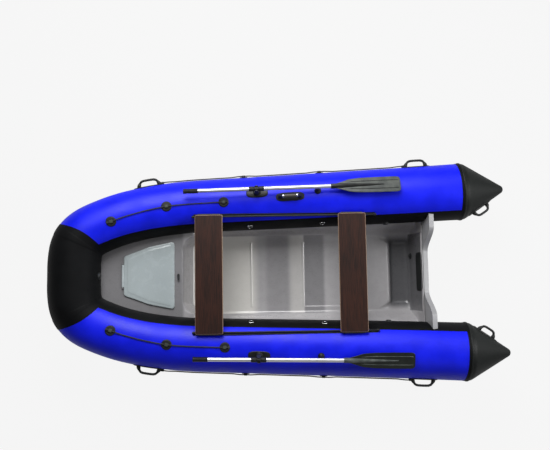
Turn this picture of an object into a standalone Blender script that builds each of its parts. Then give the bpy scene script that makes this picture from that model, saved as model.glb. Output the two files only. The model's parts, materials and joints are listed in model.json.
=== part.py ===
"""Rigid inflatable boat with sliding seats, a bow locker and two stowed oars.

Frame: +X forward to the bow, +Y to port, +Z up, metres. The origin lies under the keel,
half way along the boat. Each function builds one piece or one pair of pieces, and side is
+1 for port and -1 for starboard.
"""

import math

import bmesh
import bpy
import numpy as np
from mathutils import Matrix, Vector

# Fits and drawing accuracy
GAP = 0.0003
COLLAR_CLEARANCE = 0.0006
RUNNING_CLEARANCE = 0.0006
OVERRUN = 0.02
MERGE_DISTANCE = 0.00001
TUBE_SIDES = 20
ROUND_SIDES = 16
LUG_HOLE_SIDES = 10

# Tube collar
HALF_LENGTH = 1.750
AXIS_HALF_WIDTH = 0.614
AXIS_HEIGHT = 0.378
SHEER_RISE = 0.140
SHEER_START_X = 0.142857 * HALF_LENGTH
TUBE_RADIUS_STERN = 0.218
TUBE_RADIUS_BOW = 0.196
TUBE_WALL = 0.003
STERN_SEAM_X = -0.8 * HALF_LENGTH
BOW_SEAM_Y = 0.262
CONE_LENGTH = 0.349
CONE_WALL = 0.004
CONE_TIP_RADIUS = 0.034
CONE_SHOULDER = 0.060
CONE_CYLINDER = 0.014
BAFFLE_DISH = 0.050
BAFFLE_WALL = 0.002

# Hull
KEEL_PAD_HALF_WIDTH = 0.035
KEEL_RISE_START_X = 0.4 * HALF_LENGTH
STEM_X = 0.788571 * HALF_LENGTH
STEM_HEIGHT = 0.205
KEEL_RISE_POWER = 2.2
HULL_FAN_START_X = 0.62 * HALF_LENGTH
HULL_WALL = 0.006
CHINE_DEPTH = 0.020
CHINE_INSET = 0.060
TRAY_SINK = 0.004
TRAY_WALL = 0.011
TRAY_RIM_ANGLE = 118.0
TRAY_OUTER_END_ANGLE = 176.0
TRAY_INNER_END_ANGLE = 160.0
HULL_OUTSIDE_POINTS = 7
HULL_INSIDE_POINTS = 5
FLAT_SECTIONS = 6
CHINE_POINT = 4

# Transom
TRANSOM_RAKE = 12.0
TRANSOM_BASE_X = -0.589143 * HALF_LENGTH
TRANSOM_THICKNESS = 0.038
TRANSOM_SKIN = 0.004
TRANSOM_LOW = 0.385
TRANSOM_HIGH = 0.515
TRANSOM_NOTCH_HALF_WIDTH = 0.170
TRANSOM_SHOULDER_INSET = 0.314
TRANSOM_SHOULDER_Y = AXIS_HALF_WIDTH - TRANSOM_SHOULDER_INSET
TRANSOM_TUBE_BITE = 0.078
CORE_SHOULDER = 0.068
TRANSOM_CORE_HALF_WIDTH = TRANSOM_SHOULDER_Y + CORE_SHOULDER
CORE_FOOT = 0.020
CORE_FOOT_HALF_WIDTH = 0.045
CORE_SIDE_FOOT = 0.112
CORE_INSET = 0.014
MOTOR_PAD_CORNER = 0.012

# Deck liner
LINER_WALL = 0.005
FLOOR_HEIGHT = 0.170
FLOOR_INSET = 0.314
FLOOR_HALF_WIDTH = AXIS_HALF_WIDTH - FLOOR_INSET
FLANGE_HEIGHT = 0.292
LOCKER_HEIGHT = 0.395
LOCKER_SLOPE = 0.070
LOCKER_END_X = 0.429714 * HALF_LENGTH
BULKHEAD_RUN = 0.050
BULKHEAD_CORNER = 0.085
LINER_BITE = 0.020
WELL_START_X = -0.497143 * HALF_LENGTH
WELL_DEPTH = 0.065
WELL_INSET = 0.065
WELL_HALF_WIDTH = FLOOR_HALF_WIDTH - WELL_INSET
WELL_CORNER = 0.110
WELL_END_X = -0.588571 * HALF_LENGTH
WELL_RUN = 0.035
SIDE_FOOT = 0.020
SIDE_EDGE = 0.022
SIDE_LIP = 0.010
FRAME_WEB = 0.018
FRAME_HALF_WIDTH = 0.180
FRAME_START_X = -0.354286 * HALF_LENGTH
FRAME_END_X = 0.342857 * HALF_LENGTH
FRAME_CROSS_SHARES = (-0.285714, 0.171429)
FRAME_CROSS_XS = tuple(share * HALF_LENGTH for share in FRAME_CROSS_SHARES)
FRAME_INSET = 0.015
FRAME_REACH = FLOOR_HALF_WIDTH - FRAME_INSET
FRAME_FIT = 0.0012

# Locker lid, hinge and latch
LID_FRONT_X = 0.685714 * HALF_LENGTH
LID_BACK_X = 0.464 * HALF_LENGTH
LID_BACK_INSET = 0.038
LID_BACK_HALF_WIDTH = FLOOR_HALF_WIDTH - LID_BACK_INSET
LID_TAPER = 0.112
LID_FRONT_HALF_WIDTH = LID_BACK_HALF_WIDTH - LID_TAPER
LID_THICKNESS = 0.014
LID_CORNER = 0.022
LID_OVERLAP = 0.022
LID_BULGE = 0.016
LID_RIM = 0.028
LID_HOLLOW = 0.009
HINGE_LIFT = 0.0078
HINGE_WEB = 0.010
HINGE_EAR_RELIEF = 0.001
HINGE_PIN_RADIUS = 0.003
HINGE_BARREL_RADIUS = 0.007
HINGE_SETBACK = 0.009
HINGE_HALF_WIDTH = 0.085
HINGE_EAR_WIDTH = 0.012
LATCH_X = 0.446857 * HALF_LENGTH
LATCH_REACH = 0.040
LATCH_TAIL = 0.012
LATCH_WIDTH = 0.018
LATCH_THICKNESS = 0.005
LATCH_STEM_RADIUS = 0.005
LATCH_STEM_LENGTH = 0.018

# Motor pads and drain
MOTOR_PAD_HALF_WIDTH = 0.150
MOTOR_PAD_HEIGHT = 0.120
MOTOR_PAD_THICKNESS = 0.006
MOTOR_PAD_TOP_DROP = 0.008
DRAIN_Y = -0.130
DRAIN_HEIGHT = 0.150
DRAIN_BORE_RADIUS = 0.012
DRAIN_BUSH_RADIUS = 0.016
DRAIN_FLANGE_RADIUS = 0.024
DRAIN_FLANGE = 0.003
DRAIN_CAP_RADIUS = 0.019
DRAIN_CAP_HEIGHT = 0.012
DRAIN_STEM_LENGTH = 0.030

# Seats and rails
RAIL_INSET = 0.174
RAIL_Y = AXIS_HALF_WIDTH - RAIL_INSET
RAIL_FRONT_X = 0.365714 * HALF_LENGTH
RAIL_BACK_X = -0.417143 * HALF_LENGTH
RAIL_TILT = 33.0
RAIL_FLANGE_WIDTH = 0.026
RAIL_FLANGE_THICKNESS = 0.003
RAIL_BEAD_RADIUS = 0.006
RAIL_BEAD_LIFT = 0.014
RAIL_NECK_WIDTH = 0.004
RAIL_NECK_ANGLE = 0.33
RAIL_SKIRT = 0.012
SHOE_FLARE = 0.002
SEAT_OVERHANG = 0.0025
SEAT_LENGTH = 2 * (RAIL_Y + SEAT_OVERHANG)
SEAT_WIDTH = 0.206
SEAT_THICKNESS = 0.018
SEAT_CORNER = 0.010
SEAT_FRONT_X = 0.298286 * HALF_LENGTH
SEAT_REAR_X = -0.314286 * HALF_LENGTH
SHOE_LENGTH = 0.160
SHOE_HALF_WIDTH = 0.018
SHOE_TOP_LIFT = 0.020
SHOE_FOOT_GAP = 0.0018

# Oars and oarlocks
OARLOCK_X = 0.0885714 * HALF_LENGTH
OARLOCK_TILT = 15.0
OARLOCK_PAD_LENGTH = 0.165
OARLOCK_PAD_WIDTH = 0.072
PAD_THICKNESS = 0.005
OARLOCK_BOSS_RADIUS = 0.022
OARLOCK_BOSS_HEIGHT = 0.028
SWIVEL_PIN_RADIUS = 0.008
SWIVEL_PIN_DEPTH = 0.020
SWIVEL_DISC_THICKNESS = 0.006
FORK_PIN_HEIGHT = 0.078
FORK_PIN_RADIUS = 0.004
FORK_CHEEK_THICKNESS = 0.005
FORK_CHEEK_WIDTH = 0.030
FORK_SIDE_CLEARANCE = 0.0012
OAR_LENGTH = 1.620
OAR_SHAFT_RADIUS = 0.015
OAR_SHAFT_WALL = 0.0015
OAR_GRIP_REACH_STARBOARD = 0.545
OAR_GRIP_REACH_PORT = 0.480
OAR_PITCH = 1.9
OAR_TOE = 1.3
GRIP_LENGTH = 0.110
GRIP_RADIUS = 0.018
GRIP_END_WALL = 0.012
GRIP_RING = 0.0015
BLADE_LENGTH = 0.520
BLADE_HALF_WIDTH = 0.062
BLADE_THICKNESS = 0.008
BLADE_SOCKET_LENGTH = 0.090
BLADE_SOCKET_RADIUS = 0.018
BLADE_SPINE_LENGTH = 0.400
BLADE_SPINE_TIP_RADIUS = 0.006
OAR_REST_X = -0.171429 * HALF_LENGTH
OAR_REST_INSET = 0.009
OAR_REST_RADIUS = 0.025
OAR_REST_POST_RADIUS = 0.013
OAR_REST_LIP = 0.010
OAR_REST_FOOT = -0.048
OAR_REST_CLEARANCE = 0.0010

# Handles
HANDLE_PAD_LENGTH = 0.215
HANDLE_PAD_WIDTH = 0.066
HANDLE_HALF_SPAN = 0.072
HANDLE_HEIGHT = 0.048
HANDLE_BAR_RADIUS = 0.009
HANDLE_FOOT_RADIUS = 0.015
SIDE_HANDLE_FRONT_X = 0.554286 * HALF_LENGTH
SIDE_HANDLE_REAR_X = -0.617143 * HALF_LENGTH
SIDE_HANDLE_TILT = 80.0
CARRY_HANDLE_X = -0.0531429 * HALF_LENGTH
CARRY_HANDLE_TILT = 3.0
CONE_HANDLE_BACK = 0.150
CONE_HANDLE_PAD_LENGTH = 0.180
CONE_HANDLE_HALF_SPAN = 0.058
CONE_HANDLE_TILT = -75.0
CONE_HANDLE_SINK = 0.012

# Lifelines and their holders
ROPE_RADIUS = 0.0045
ROPE_HOLE_CLEARANCE = 0.0012
ROPE_STEP = 0.027
ROPE_REST_LIFT = 0.0062
HOLDER_RADIUS = 0.040
HOLDER_LUG_LENGTH = 0.030
HOLDER_LUG_WIDTH = 0.024
HOLDER_LUG_HEIGHT = 0.018
HOLDER_LUG_CORNER = 0.004
HOLDER_LUG_REACH = 0.080
HOLDER_ROPE_LIFT = 0.0105
HOLDER_SHARES = (0.731429, 0.490286, 0.237143)
HOLDER_XS = tuple(share * HALF_LENGTH for share in HOLDER_SHARES)
HOLDER_TILTS = (-8.0, -1.0, -1.0)
ROPE_TAIL = 0.030
SIDE_ROPE_LIFT = 0.0110

# Valves
VALVE_X = -0.468571 * HALF_LENGTH
VALVE_TILT = -84.0
VALVE_FLANGE_RADIUS = 0.028
VALVE_FLANGE_THICKNESS = 0.004
VALVE_CAP_RADIUS = 0.019
VALVE_CAP_HEIGHT = 0.011
VALVE_STEM_RADIUS = 0.014
VALVE_STEM_LENGTH = 0.030

# Towing eye
EYE_ROD_RADIUS = 0.005
EYE_HALF_SPAN = 0.022
EYE_REACH = 0.034
EYE_LEG = 0.022

# Stations of the collar's rings and of the deck's rows
TURN_X = 0.62 * HALF_LENGTH
BREADTH_START_X = -0.7 * HALF_LENGTH
BREADTH_SAMPLES = 60
LOCKER_ROW_SHARES = (0.795429, 0.76, 0.714286, 0.662857, 0.6, 0.537143, 0.48, 0.445714)
LOCKER_ROW_XS = tuple(share * HALF_LENGTH for share in LOCKER_ROW_SHARES)
FLOOR_ROW_SHARES = (0.308571, 0.171429, 0, -0.171429, -0.342857)
FLOOR_ROW_XS = tuple(share * HALF_LENGTH for share in FLOOR_ROW_SHARES)

# Shares of the turn round a cone's shoulder and of the turn round its tip
CONE_SHOULDER_SHARES = (0.33, 0.67, 1.0)
CONE_TIP_SHARES = (0.0, 0.35, 0.7)

# Deck rows: breadth of the locker top, run and height down the bulkhead, the well and the aft wall
LOCKER_BREADTH_SHARES = (0.0, 0.36, 0.65, 0.83, 0.88, 0.94, 0.967)
BULKHEAD_SHARES = ((0.0, 1.0), (0.10, 0.95), (0.90, 0.06), (1.25, 0.0))
WELL_SHARES = ((0.0, 0.0), (0.35, 0.25), (1.0, 1.0))
AFT_WALL_SHARES = (0.06, 0.35, 0.66, 0.85, 1.0)

# Outlines of the pads on the tubes: place along the pad and half width there
BLADE_OUTLINE_SHARES = (
    (0.0, 0.72),
    (0.02, 0.92),
    (0.06, 1.0),
    (0.55, 0.96),
    (0.74, 0.80),
    (0.84, 0.52),
    (0.93, 0.30),
)
HANDLE_PATH_SHARES = (
    (-1.12, -0.10),
    (-1.08, 0.18),
    (-0.98, 0.52),
    (-0.80, 0.86),
    (-0.55, 0.98),
    (0.0, 1.0),
    (0.55, 0.98),
    (0.80, 0.86),
    (0.98, 0.52),
    (1.08, 0.18),
    (1.12, -0.10),
)
LONG_PAD_SHARES = (
    (-1.0, 0.45),
    (-0.92, 0.84),
    (-0.78, 1.0),
    (0.0, 1.0),
    (0.78, 1.0),
    (0.92, 0.84),
    (1.0, 0.45),
)
ROUND_PAD_SHARES = ((-0.96, 0.28), (-0.76, 0.65), (-0.38, 0.925), (0.38, 0.925), (0.76, 0.65), (0.96, 0.28))
PAD_COLUMNS = 3
PAD_SINK = 0.003

# Plan of the collar's axis as shares of HALF_LENGTH and AXIS_HALF_WIDTH, stern to bow
AXIS_PLAN_SHARES = (
    (-1.000, 1.018),
    (-0.800, 1.000),
    (-0.500, 0.963),
    (-0.030, 0.913),
    (0.250, 0.884),
    (0.417, 0.859),
    (0.546, 0.814),
    (0.637, 0.760),
    (0.700, 0.709),
    (0.762, 0.642),
    (0.820, 0.562),
    (0.857, 0.475),
    (0.879, 0.363),
    (0.888, 0.200),
    (0.889, 0.000),
)


def material(name, colour, roughness, metallic=0.0):
    """A plain painted finish."""
    made = bpy.data.materials.new(name)
    made.use_nodes = True
    shader = made.node_tree.nodes["Principled BSDF"]
    shader.inputs["Base Color"].default_value = (*colour, 1.0)
    shader.inputs["Roughness"].default_value = roughness
    shader.inputs["Metallic"].default_value = metallic
    return made


def finishes():
    """The materials of the boat, by plain names."""
    return {
        "blue": material("blue_fabric", (0.030, 0.050, 0.800), 0.55),
        "black": material("black_fabric", (0.012, 0.012, 0.014), 0.60),
        "rubber": material("black_rubber", (0.020, 0.021, 0.020), 0.70),
        "gelcoat": material("grey_gelcoat", (0.250, 0.245, 0.250), 0.35),
        "pale": material("pale_gelcoat", (0.380, 0.400, 0.400), 0.35),
        "plywood": material("brown_plywood", (0.055, 0.020, 0.012), 0.35),
        "core": material("plain_plywood", (0.450, 0.300, 0.160), 0.70),
        "aluminium": material("aluminium", (0.850, 0.860, 0.870), 0.25, 1.0),
        "steel": material("stainless_steel", (0.600, 0.600, 0.610), 0.25, 1.0),
        "plastic": material("dark_plastic", (0.030, 0.033, 0.030), 0.50),
        "rope": material("black_rope", (0.012, 0.012, 0.013), 0.80),
    }


def add_object(name, vertices, faces, finish):
    """A mesh object whose closed surface points outwards."""
    mesh = bpy.data.meshes.new(name)
    mesh.from_pydata([tuple(map(float, vertex)) for vertex in vertices], [], faces)
    build = bmesh.new()
    build.from_mesh(mesh)
    bmesh.ops.remove_doubles(build, verts=build.verts, dist=MERGE_DISTANCE)
    loose = [edge for edge in build.edges if not edge.link_faces]
    bmesh.ops.delete(build, geom=loose, context="EDGES")
    bmesh.ops.recalc_face_normals(build, faces=build.faces)
    build.to_mesh(mesh)
    build.free()
    if finish is not None:
        mesh.materials.append(finish)
    mesh.shade_smooth()
    mesh.set_sharp_from_angle(angle=math.radians(30))
    made = bpy.data.objects.new(name, mesh)
    bpy.context.scene.collection.objects.link(made)
    return made


def combine(target, other, operation):
    """Apply an exact Boolean with other to target, and remove other."""
    modifier = target.modifiers.new("combine", "BOOLEAN")
    modifier.operation = operation
    modifier.object = other
    bpy.context.view_layer.update()
    evaluated = target.evaluated_get(bpy.context.evaluated_depsgraph_get())
    mesh = bpy.data.meshes.new_from_object(evaluated)
    target.modifiers.clear()
    target.data = mesh
    bpy.data.objects.remove(other, do_unlink=True)
    return target


def cut_with_collar(target, collar_cutter):
    """Cut a piece back to the gap from the tubes with a copy of the collar's outer shape."""
    copy = bpy.data.objects.new("collar_copy", collar_cutter.data)
    bpy.context.scene.collection.objects.link(copy)
    return combine(target, copy, "DIFFERENCE")


def grid_faces(rows, columns, wrap=False):
    """Quads between the rows of a grid of vertices."""
    faces = []
    last = columns if wrap else columns - 1
    for row in range(rows - 1):
        for column in range(last):
            side = (column + 1) % columns
            low = row * columns
            high = low + columns
            faces.append((low + column, high + column, high + side, low + side))
    return faces


def loft(name, rings, finish):
    """A solid through closed rings of equal count, with flat ends."""
    rings = np.asarray(rings, float)
    rows, columns = rings.shape[:2]
    faces = grid_faces(rows, columns, wrap=True)
    faces.append(tuple(range(columns)))
    faces.append(tuple(range((rows - 1) * columns, rows * columns)))
    return add_object(name, rings.reshape(-1, 3), faces, finish)


def ring_shell(name, outer, inner, finish):
    """A pipe with two open ends between an outer and an inner stack of rings."""
    rings = np.concatenate([outer, inner[::-1], outer[:1]])
    rows, columns = rings.shape[:2]
    faces = grid_faces(rows, columns, wrap=True)
    return add_object(name, rings.reshape(-1, 3), faces, finish)


def sheet(name, top, bottom, finish):
    """A solid between two grids of equal size, closed round their edges."""
    top = np.asarray(top, float)
    rows, columns = top.shape[:2]
    count = rows * columns
    faces = grid_faces(rows, columns)
    faces += [tuple(index + count for index in reversed(face)) for face in faces]
    rim = list(range(columns))
    rim += [row * columns + columns - 1 for row in range(1, rows)]
    rim += [(rows - 1) * columns + column for column in range(columns - 2, -1, -1)]
    rim += [row * columns for row in range(rows - 2, 0, -1)]
    for index, first in enumerate(rim):
        second = rim[(index + 1) % len(rim)]
        faces.append((first, second, second + count, first + count))
    vertices = np.concatenate([top.reshape(-1, 3), np.asarray(bottom, float).reshape(-1, 3)])
    return add_object(name, vertices, faces, finish)


def plate(name, outline, thickness, finish, frame=None):
    """A flat outline in local X and Y, raised along local Z by thickness."""
    outline = np.asarray(outline, float)
    low = np.column_stack([outline, np.zeros(len(outline))])
    high = np.column_stack([outline, np.full(len(outline), thickness)])
    made = loft(name, [low, high], finish)
    if frame is not None:
        made.data.transform(frame)
    return made


def turned(name, profile, finish, frame=None, sides=ROUND_SIDES):
    """A solid turned about local Z from a closed profile of radius and height pairs."""
    angles = np.linspace(0, 2 * math.pi, sides, endpoint=False)
    rings = []
    for angle in angles:
        ring = [(radius * math.cos(angle), radius * math.sin(angle), height) for radius, height in profile]
        rings.append(ring)
    rings.append(rings[0])
    rings = np.asarray(rings)
    rows, columns = rings.shape[:2]
    made = add_object(name, rings.reshape(-1, 3), grid_faces(rows, columns, wrap=True), finish)
    if frame is not None:
        made.data.transform(frame)
    return made


def rod(name, start, end, radius, finish, sides=ROUND_SIDES):
    """A round bar between two points."""
    start = Vector(start)
    end = Vector(end)
    along = end - start
    turn = along.to_track_quat("Z", "Y").to_matrix().to_4x4()
    profile = ((0, 0), (radius, 0), (radius, along.length), (0, along.length))
    return turned(name, profile, finish, Matrix.Translation(start) @ turn, sides)


def block(name, low, high, finish, frame=None):
    """A box between two corners."""
    outline = ((low[0], low[1]), (high[0], low[1]), (high[0], high[1]), (low[0], high[1]))
    made = plate(name, outline, high[2] - low[2], finish)
    base = Matrix.Translation((0, 0, low[2]))
    made.data.transform(base)
    if frame is not None:
        made.data.transform(frame)
    return made


def rounded_outline(corners, radius, steps=4):
    """The outline through convex corners, each replaced by an arc of the given radius."""
    corners = [np.asarray(corner, float) for corner in corners]
    outline = []
    for index, corner in enumerate(corners):
        before = corners[index - 1] - corner
        after = corners[(index + 1) % len(corners)] - corner
        before /= np.linalg.norm(before)
        after /= np.linalg.norm(after)
        half = 0.5 * math.acos(float(np.clip(before @ after, -1, 1)))
        bisector = (before + after) / np.linalg.norm(before + after)
        centre = corner + bisector * radius / math.sin(half)
        start = corner + before * radius / math.tan(half) - centre
        end = corner + after * radius / math.tan(half) - centre
        for share in np.linspace(0, 1, steps + 1):
            spoke = (1 - share) * start + share * end
            outline.append(centre + spoke * radius / np.linalg.norm(spoke))
    return np.asarray(outline)


def stadium(length, width, steps=5):
    """An outline with straight sides and round ends."""
    radius = width / 2
    reach = length / 2 - radius
    ahead = [
        (reach + radius * math.cos(angle), radius * math.sin(angle))
        for angle in np.linspace(-math.pi / 2, math.pi / 2, steps)
    ]
    behind = [(-x, -y) for x, y in ahead]
    return np.asarray(ahead + behind)


def sheer(x):
    """Height of the collar's axis: level aft, then rising as a parabola to the bow."""
    bow_x = AXIS_PLAN_SHARES[-1][0] * HALF_LENGTH
    share = np.clip((np.asarray(x, float) - SHEER_START_X) / (bow_x - SHEER_START_X), 0, None)
    return AXIS_HEIGHT + SHEER_RISE * share**2


def tube_radius(x):
    """Radius of the tubes, which taper evenly from the stern seams to the bow."""
    bow_x = AXIS_PLAN_SHARES[-1][0] * HALF_LENGTH
    share = np.clip((np.asarray(x, float) - STERN_SEAM_X) / (bow_x - STERN_SEAM_X), 0, 1)
    return TUBE_RADIUS_STERN + (TUBE_RADIUS_BOW - TUBE_RADIUS_STERN) * share


def axis_table():
    """Points of the port half of the axis, stern to bow, on a Catmull-Rom curve through the plan."""
    plan = [(x * HALF_LENGTH, y * AXIS_HALF_WIDTH) for x, y in AXIS_PLAN_SHARES]
    mirrored = (plan[-2][0], -plan[-2][1])
    before = (2 * plan[0][0] - plan[1][0], 2 * plan[0][1] - plan[1][1])
    knots = np.array([before, *plan, mirrored])
    points = []
    for index in range(1, len(knots) - 2):
        p0, p1, p2, p3 = knots[index - 1 : index + 3]
        for share in np.linspace(0, 1, 12, endpoint=False):
            bend = (2 * p0 - 5 * p1 + 4 * p2 - p3) * share**2 + (3 * p1 - p0 - 3 * p2 + p3) * share**3
            points.append(0.5 * (2 * p1 + (p2 - p0) * share + bend))
    points.append(knots[-2])
    points = np.array(points)
    return np.column_stack([points, sheer(points[:, 0])])


AXIS = axis_table()
AXIS_RUN = np.concatenate([[0.0], np.cumsum(np.linalg.norm(np.diff(AXIS, axis=0), axis=1))])
AXIS_STEP = 0.004


def axis_point(run):
    """Point of the axis at a run from its stern end: port first, then on round to starboard."""
    total = AXIS_RUN[-1]
    folded = run if run <= total else 2 * total - run
    point = np.array([np.interp(folded, AXIS_RUN, AXIS[:, column]) for column in range(3)])
    if run > total:
        point[1] = -point[1]
    return point


def axis_frame(run):
    """Point, direction, outboard and upward vectors of the axis at a run."""
    ahead = axis_point(run + AXIS_STEP) - axis_point(run - AXIS_STEP)
    ahead /= np.linalg.norm(ahead)
    outboard = np.cross((0, 0, 1), ahead)
    outboard /= np.linalg.norm(outboard)
    return axis_point(run), ahead, outboard, np.cross(ahead, outboard)


def run_at_x(x):
    """Run along the port side where the axis passes a station."""
    return float(np.interp(x, AXIS[:, 0], AXIS_RUN))


def run_at_y(y):
    """Run along the port bow where the axis passes a distance from the centreline."""
    return float(np.interp(-y, -AXIS[:, 1], AXIS_RUN))


def collar_ring(run, radius_change=0.0, radius=None):
    """One round section of the collar, square to its axis, from the top round by the outboard side."""
    centre, ahead, outboard, up = axis_frame(run)
    size = (tube_radius(centre[0]) if radius is None else radius) + radius_change
    turns = np.linspace(0, 2 * math.pi, TUBE_SIDES, endpoint=False)
    across = size * np.sin(turns)
    high = size * np.cos(turns)
    return centre + np.outer(across, outboard) + np.outer(high, up)


def side_runs():
    """Runs of the rings of the port tube, closer together where the bow turns."""
    stern = run_at_x(STERN_SEAM_X)
    straight = run_at_x(SHEER_START_X)
    turn = run_at_x(TURN_X)
    seam = run_at_y(BOW_SEAM_Y)
    rising = np.linspace(straight, turn, 6)[1:]
    turning = np.linspace(turn, seam, 7)[1:]
    return np.concatenate([np.linspace(stern, straight, 4), rising, turning])


def bow_runs():
    """Runs of the rings of the bow tube, port seam to starboard seam."""
    seam = run_at_y(BOW_SEAM_Y)
    return np.linspace(seam, 2 * AXIS_RUN[-1] - seam, 11)


def mirror(points):
    """Port points moved to starboard."""
    return np.asarray(points) * (1, -1, 1)


def tube_rings(runs, radius_change=0.0):
    """Stack of collar rings."""
    return np.array([collar_ring(run, radius_change) for run in runs])


def side_tube(name, side, finish):
    """One long side tube, an open fabric sleeve between its stern cone and the bow tube."""
    runs = side_runs()
    runs[0] += GAP / 2
    runs[-1] -= GAP / 2
    outer = tube_rings(runs)
    inner = tube_rings(runs, -TUBE_WALL)
    if side < 0:
        outer = mirror(outer)
        inner = mirror(inner)
    return ring_shell(name, outer, inner, finish)


def bow_tube(finish):
    """The black tube across the bow."""
    runs = bow_runs()
    runs[0] += GAP / 2
    runs[-1] -= GAP / 2
    outer = tube_rings(runs)
    inner = tube_rings(runs, -TUBE_WALL)
    return ring_shell("tube_bow", outer, inner, finish)


def cone_profile(radius, tip_radius, length):
    """Distance aft and radius down a stern cone: short cylinder, round shoulder, cone, round tip."""
    slope = math.atan2(radius - tip_radius, length - CONE_CYLINDER - tip_radius)
    profile = [(0, radius), (CONE_CYLINDER, radius)]
    bend = CONE_SHOULDER / math.tan(slope / 2)
    for share in CONE_SHOULDER_SHARES:
        angle = share * slope
        aft = CONE_CYLINDER + bend * math.sin(angle) * math.tan(slope / 2)
        profile.append((aft, radius - bend * (1 - math.cos(angle)) * math.tan(slope / 2)))
    for share in CONE_TIP_SHARES:
        angle = slope + share * (math.pi / 2 - slope)
        profile.append((length - tip_radius * (1 - math.sin(angle)), tip_radius * math.cos(angle)))
    return profile


def cone_rings(length, inset):
    """Rings down a stern cone on the port side, seam to tip; inset shrinks them evenly."""
    seam = run_at_x(STERN_SEAM_X)
    centre, ahead, outboard, up = axis_frame(seam)
    turns = np.linspace(0, 2 * math.pi, TUBE_SIDES, endpoint=False)
    radius = tube_radius(centre[0])
    rings = []
    for aft, size in cone_profile(radius - inset, CONE_TIP_RADIUS - inset, length - inset):
        spokes = np.outer(np.sin(turns), outboard) + np.outer(np.cos(turns), up)
        rings.append(centre - ahead * aft + size * spokes)
    tip = centre - ahead * (length - inset)
    rings.append(np.repeat(tip[None, :], TUBE_SIDES, axis=0))
    return np.array(rings), ahead


def stern_cone(name, side, finish):
    """A moulded cone that closes the stern end of a side tube, open at its seam."""
    outer, ahead = cone_rings(CONE_LENGTH, 0.0)
    inner, _ = cone_rings(CONE_LENGTH, CONE_WALL)
    outer[0] -= ahead * GAP / 2
    inner[0] -= ahead * GAP / 2
    rings = np.concatenate([outer, inner[::-1], outer[:1]])
    if side < 0:
        rings = mirror(rings)
    rows, columns = rings.shape[:2]
    faces = grid_faces(rows, columns, wrap=True)
    return add_object(name, rings.reshape(-1, 3), faces, finish)


def collar_cutter(finish):
    """The whole collar's outer shape, slightly larger, for cutting what is fixed to it."""
    port = tube_rings(side_runs(), COLLAR_CLEARANCE)
    bow = tube_rings(bow_runs()[1:-1], COLLAR_CLEARANCE)
    cone, _ = cone_rings(CONE_LENGTH + COLLAR_CLEARANCE, -COLLAR_CLEARANCE)
    rings = np.concatenate([cone[:0:-1], port, bow, mirror(port[::-1]), mirror(cone[1:])])
    rows, columns = rings.shape[:2]
    faces = grid_faces(rows, columns, wrap=True)
    made = add_object("collar_cutter", rings.reshape(-1, 3), faces, finish)
    made.hide_render = True
    made.display_type = "WIRE"
    return made


def baffle(name, side, finish):
    """The dished fabric wall between a side chamber and the bow chamber."""
    run = run_at_y(BOW_SEAM_Y)
    rim = TUBE_WALL + RUNNING_CLEARANCE
    shares = (1.0, 0.86, 0.60, 0.30)
    front = []
    back = []
    centre, ahead, outboard, up = axis_frame(run)
    radius = float(tube_radius(centre[0])) - rim
    for share in shares:
        dish = BAFFLE_DISH * (1 - share**2)
        ring = collar_ring(run, 0.0, radius * share)
        front.append(ring + ahead * (dish + BAFFLE_WALL / 2))
        back.append(ring + ahead * (dish - BAFFLE_WALL / 2))
    front.append(np.repeat([centre + ahead * (BAFFLE_DISH + BAFFLE_WALL / 2)], TUBE_SIDES, axis=0))
    back.append(np.repeat([centre + ahead * (BAFFLE_DISH - BAFFLE_WALL / 2)], TUBE_SIDES, axis=0))
    rings = np.array(front + back[::-1] + front[:1])
    if side < 0:
        rings = mirror(rings)
    rows, columns = rings.shape[:2]
    return add_object(name, rings.reshape(-1, 3), grid_faces(rows, columns, wrap=True), finish)


def skin_frame(run, tilt, side, lift=0.0):
    """Frame on the collar's skin: X forward along it, Z out of it, tilted outboard from the top."""
    centre, ahead, outboard, up = axis_frame(run)
    lean = math.radians(tilt)
    out = math.cos(lean) * up + math.sin(lean) * outboard
    origin = centre + (tube_radius(centre[0]) + lift) * out
    if side < 0:
        origin = mirror(origin)
        out = mirror(out)
        ahead = mirror(ahead)
    across = np.cross(out, ahead)
    matrix = Matrix((ahead, across, out)).transposed().to_4x4()
    matrix.translation = Vector(origin)
    return matrix


def tube_frame(x, tilt, side, lift=0.0):
    """Frame on a side tube's skin at a station."""
    return skin_frame(run_at_x(x), tilt, side, lift)


def tube_point(x, tilt, along, around, lift, side):
    """Point near a side tube's skin: along it from a station, round it outboard, and out of it."""
    centre, _, outboard, up = axis_frame(run_at_x(x) + along)
    radius = float(tube_radius(centre[0]))
    lean = math.radians(tilt) + around / radius
    point = centre + (radius + lift) * (math.cos(lean) * up + math.sin(lean) * outboard)
    return point * (1, side, 1)


def tube_pad(name, x, tilt, side, rows, thickness, finish):
    """A pad wrapped on a side tube, from rows of place along it and half width."""
    layers = []
    for lift in (thickness, -PAD_SINK):
        layer = []
        for along, half in rows:
            arounds = half * np.linspace(-1, 1, PAD_COLUMNS)
            layer.append([tube_point(x, tilt, along, around, lift, side) for around in arounds])
        layers.append(layer)
    return sheet(name, *layers, finish)


def pad_rows(length, width, shares):
    """Rows of a pad: place along it and half width."""
    return [(place * length / 2, share * width / 2) for place, share in shares]


def skin_height(x, y):
    """Height of a side tube's upper skin over a point of the plan."""
    centre, ahead, outboard, up = axis_frame(run_at_x(x))
    across = (y - centre[1]) * outboard[1]
    return float(centre[2] + math.sqrt(tube_radius(centre[0]) ** 2 - across**2))


def keel_height(x):
    """Height of the keel, flat aft and curving up to the stem."""
    share = np.clip((x - KEEL_RISE_START_X) / (STEM_X - KEEL_RISE_START_X), 0, None)
    return STEM_HEIGHT * share**KEEL_RISE_POWER


def transom_front(height):
    """Place along X of the transom's raked front face at a height."""
    return TRANSOM_BASE_X - height * math.tan(math.radians(TRANSOM_RAKE))


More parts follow.
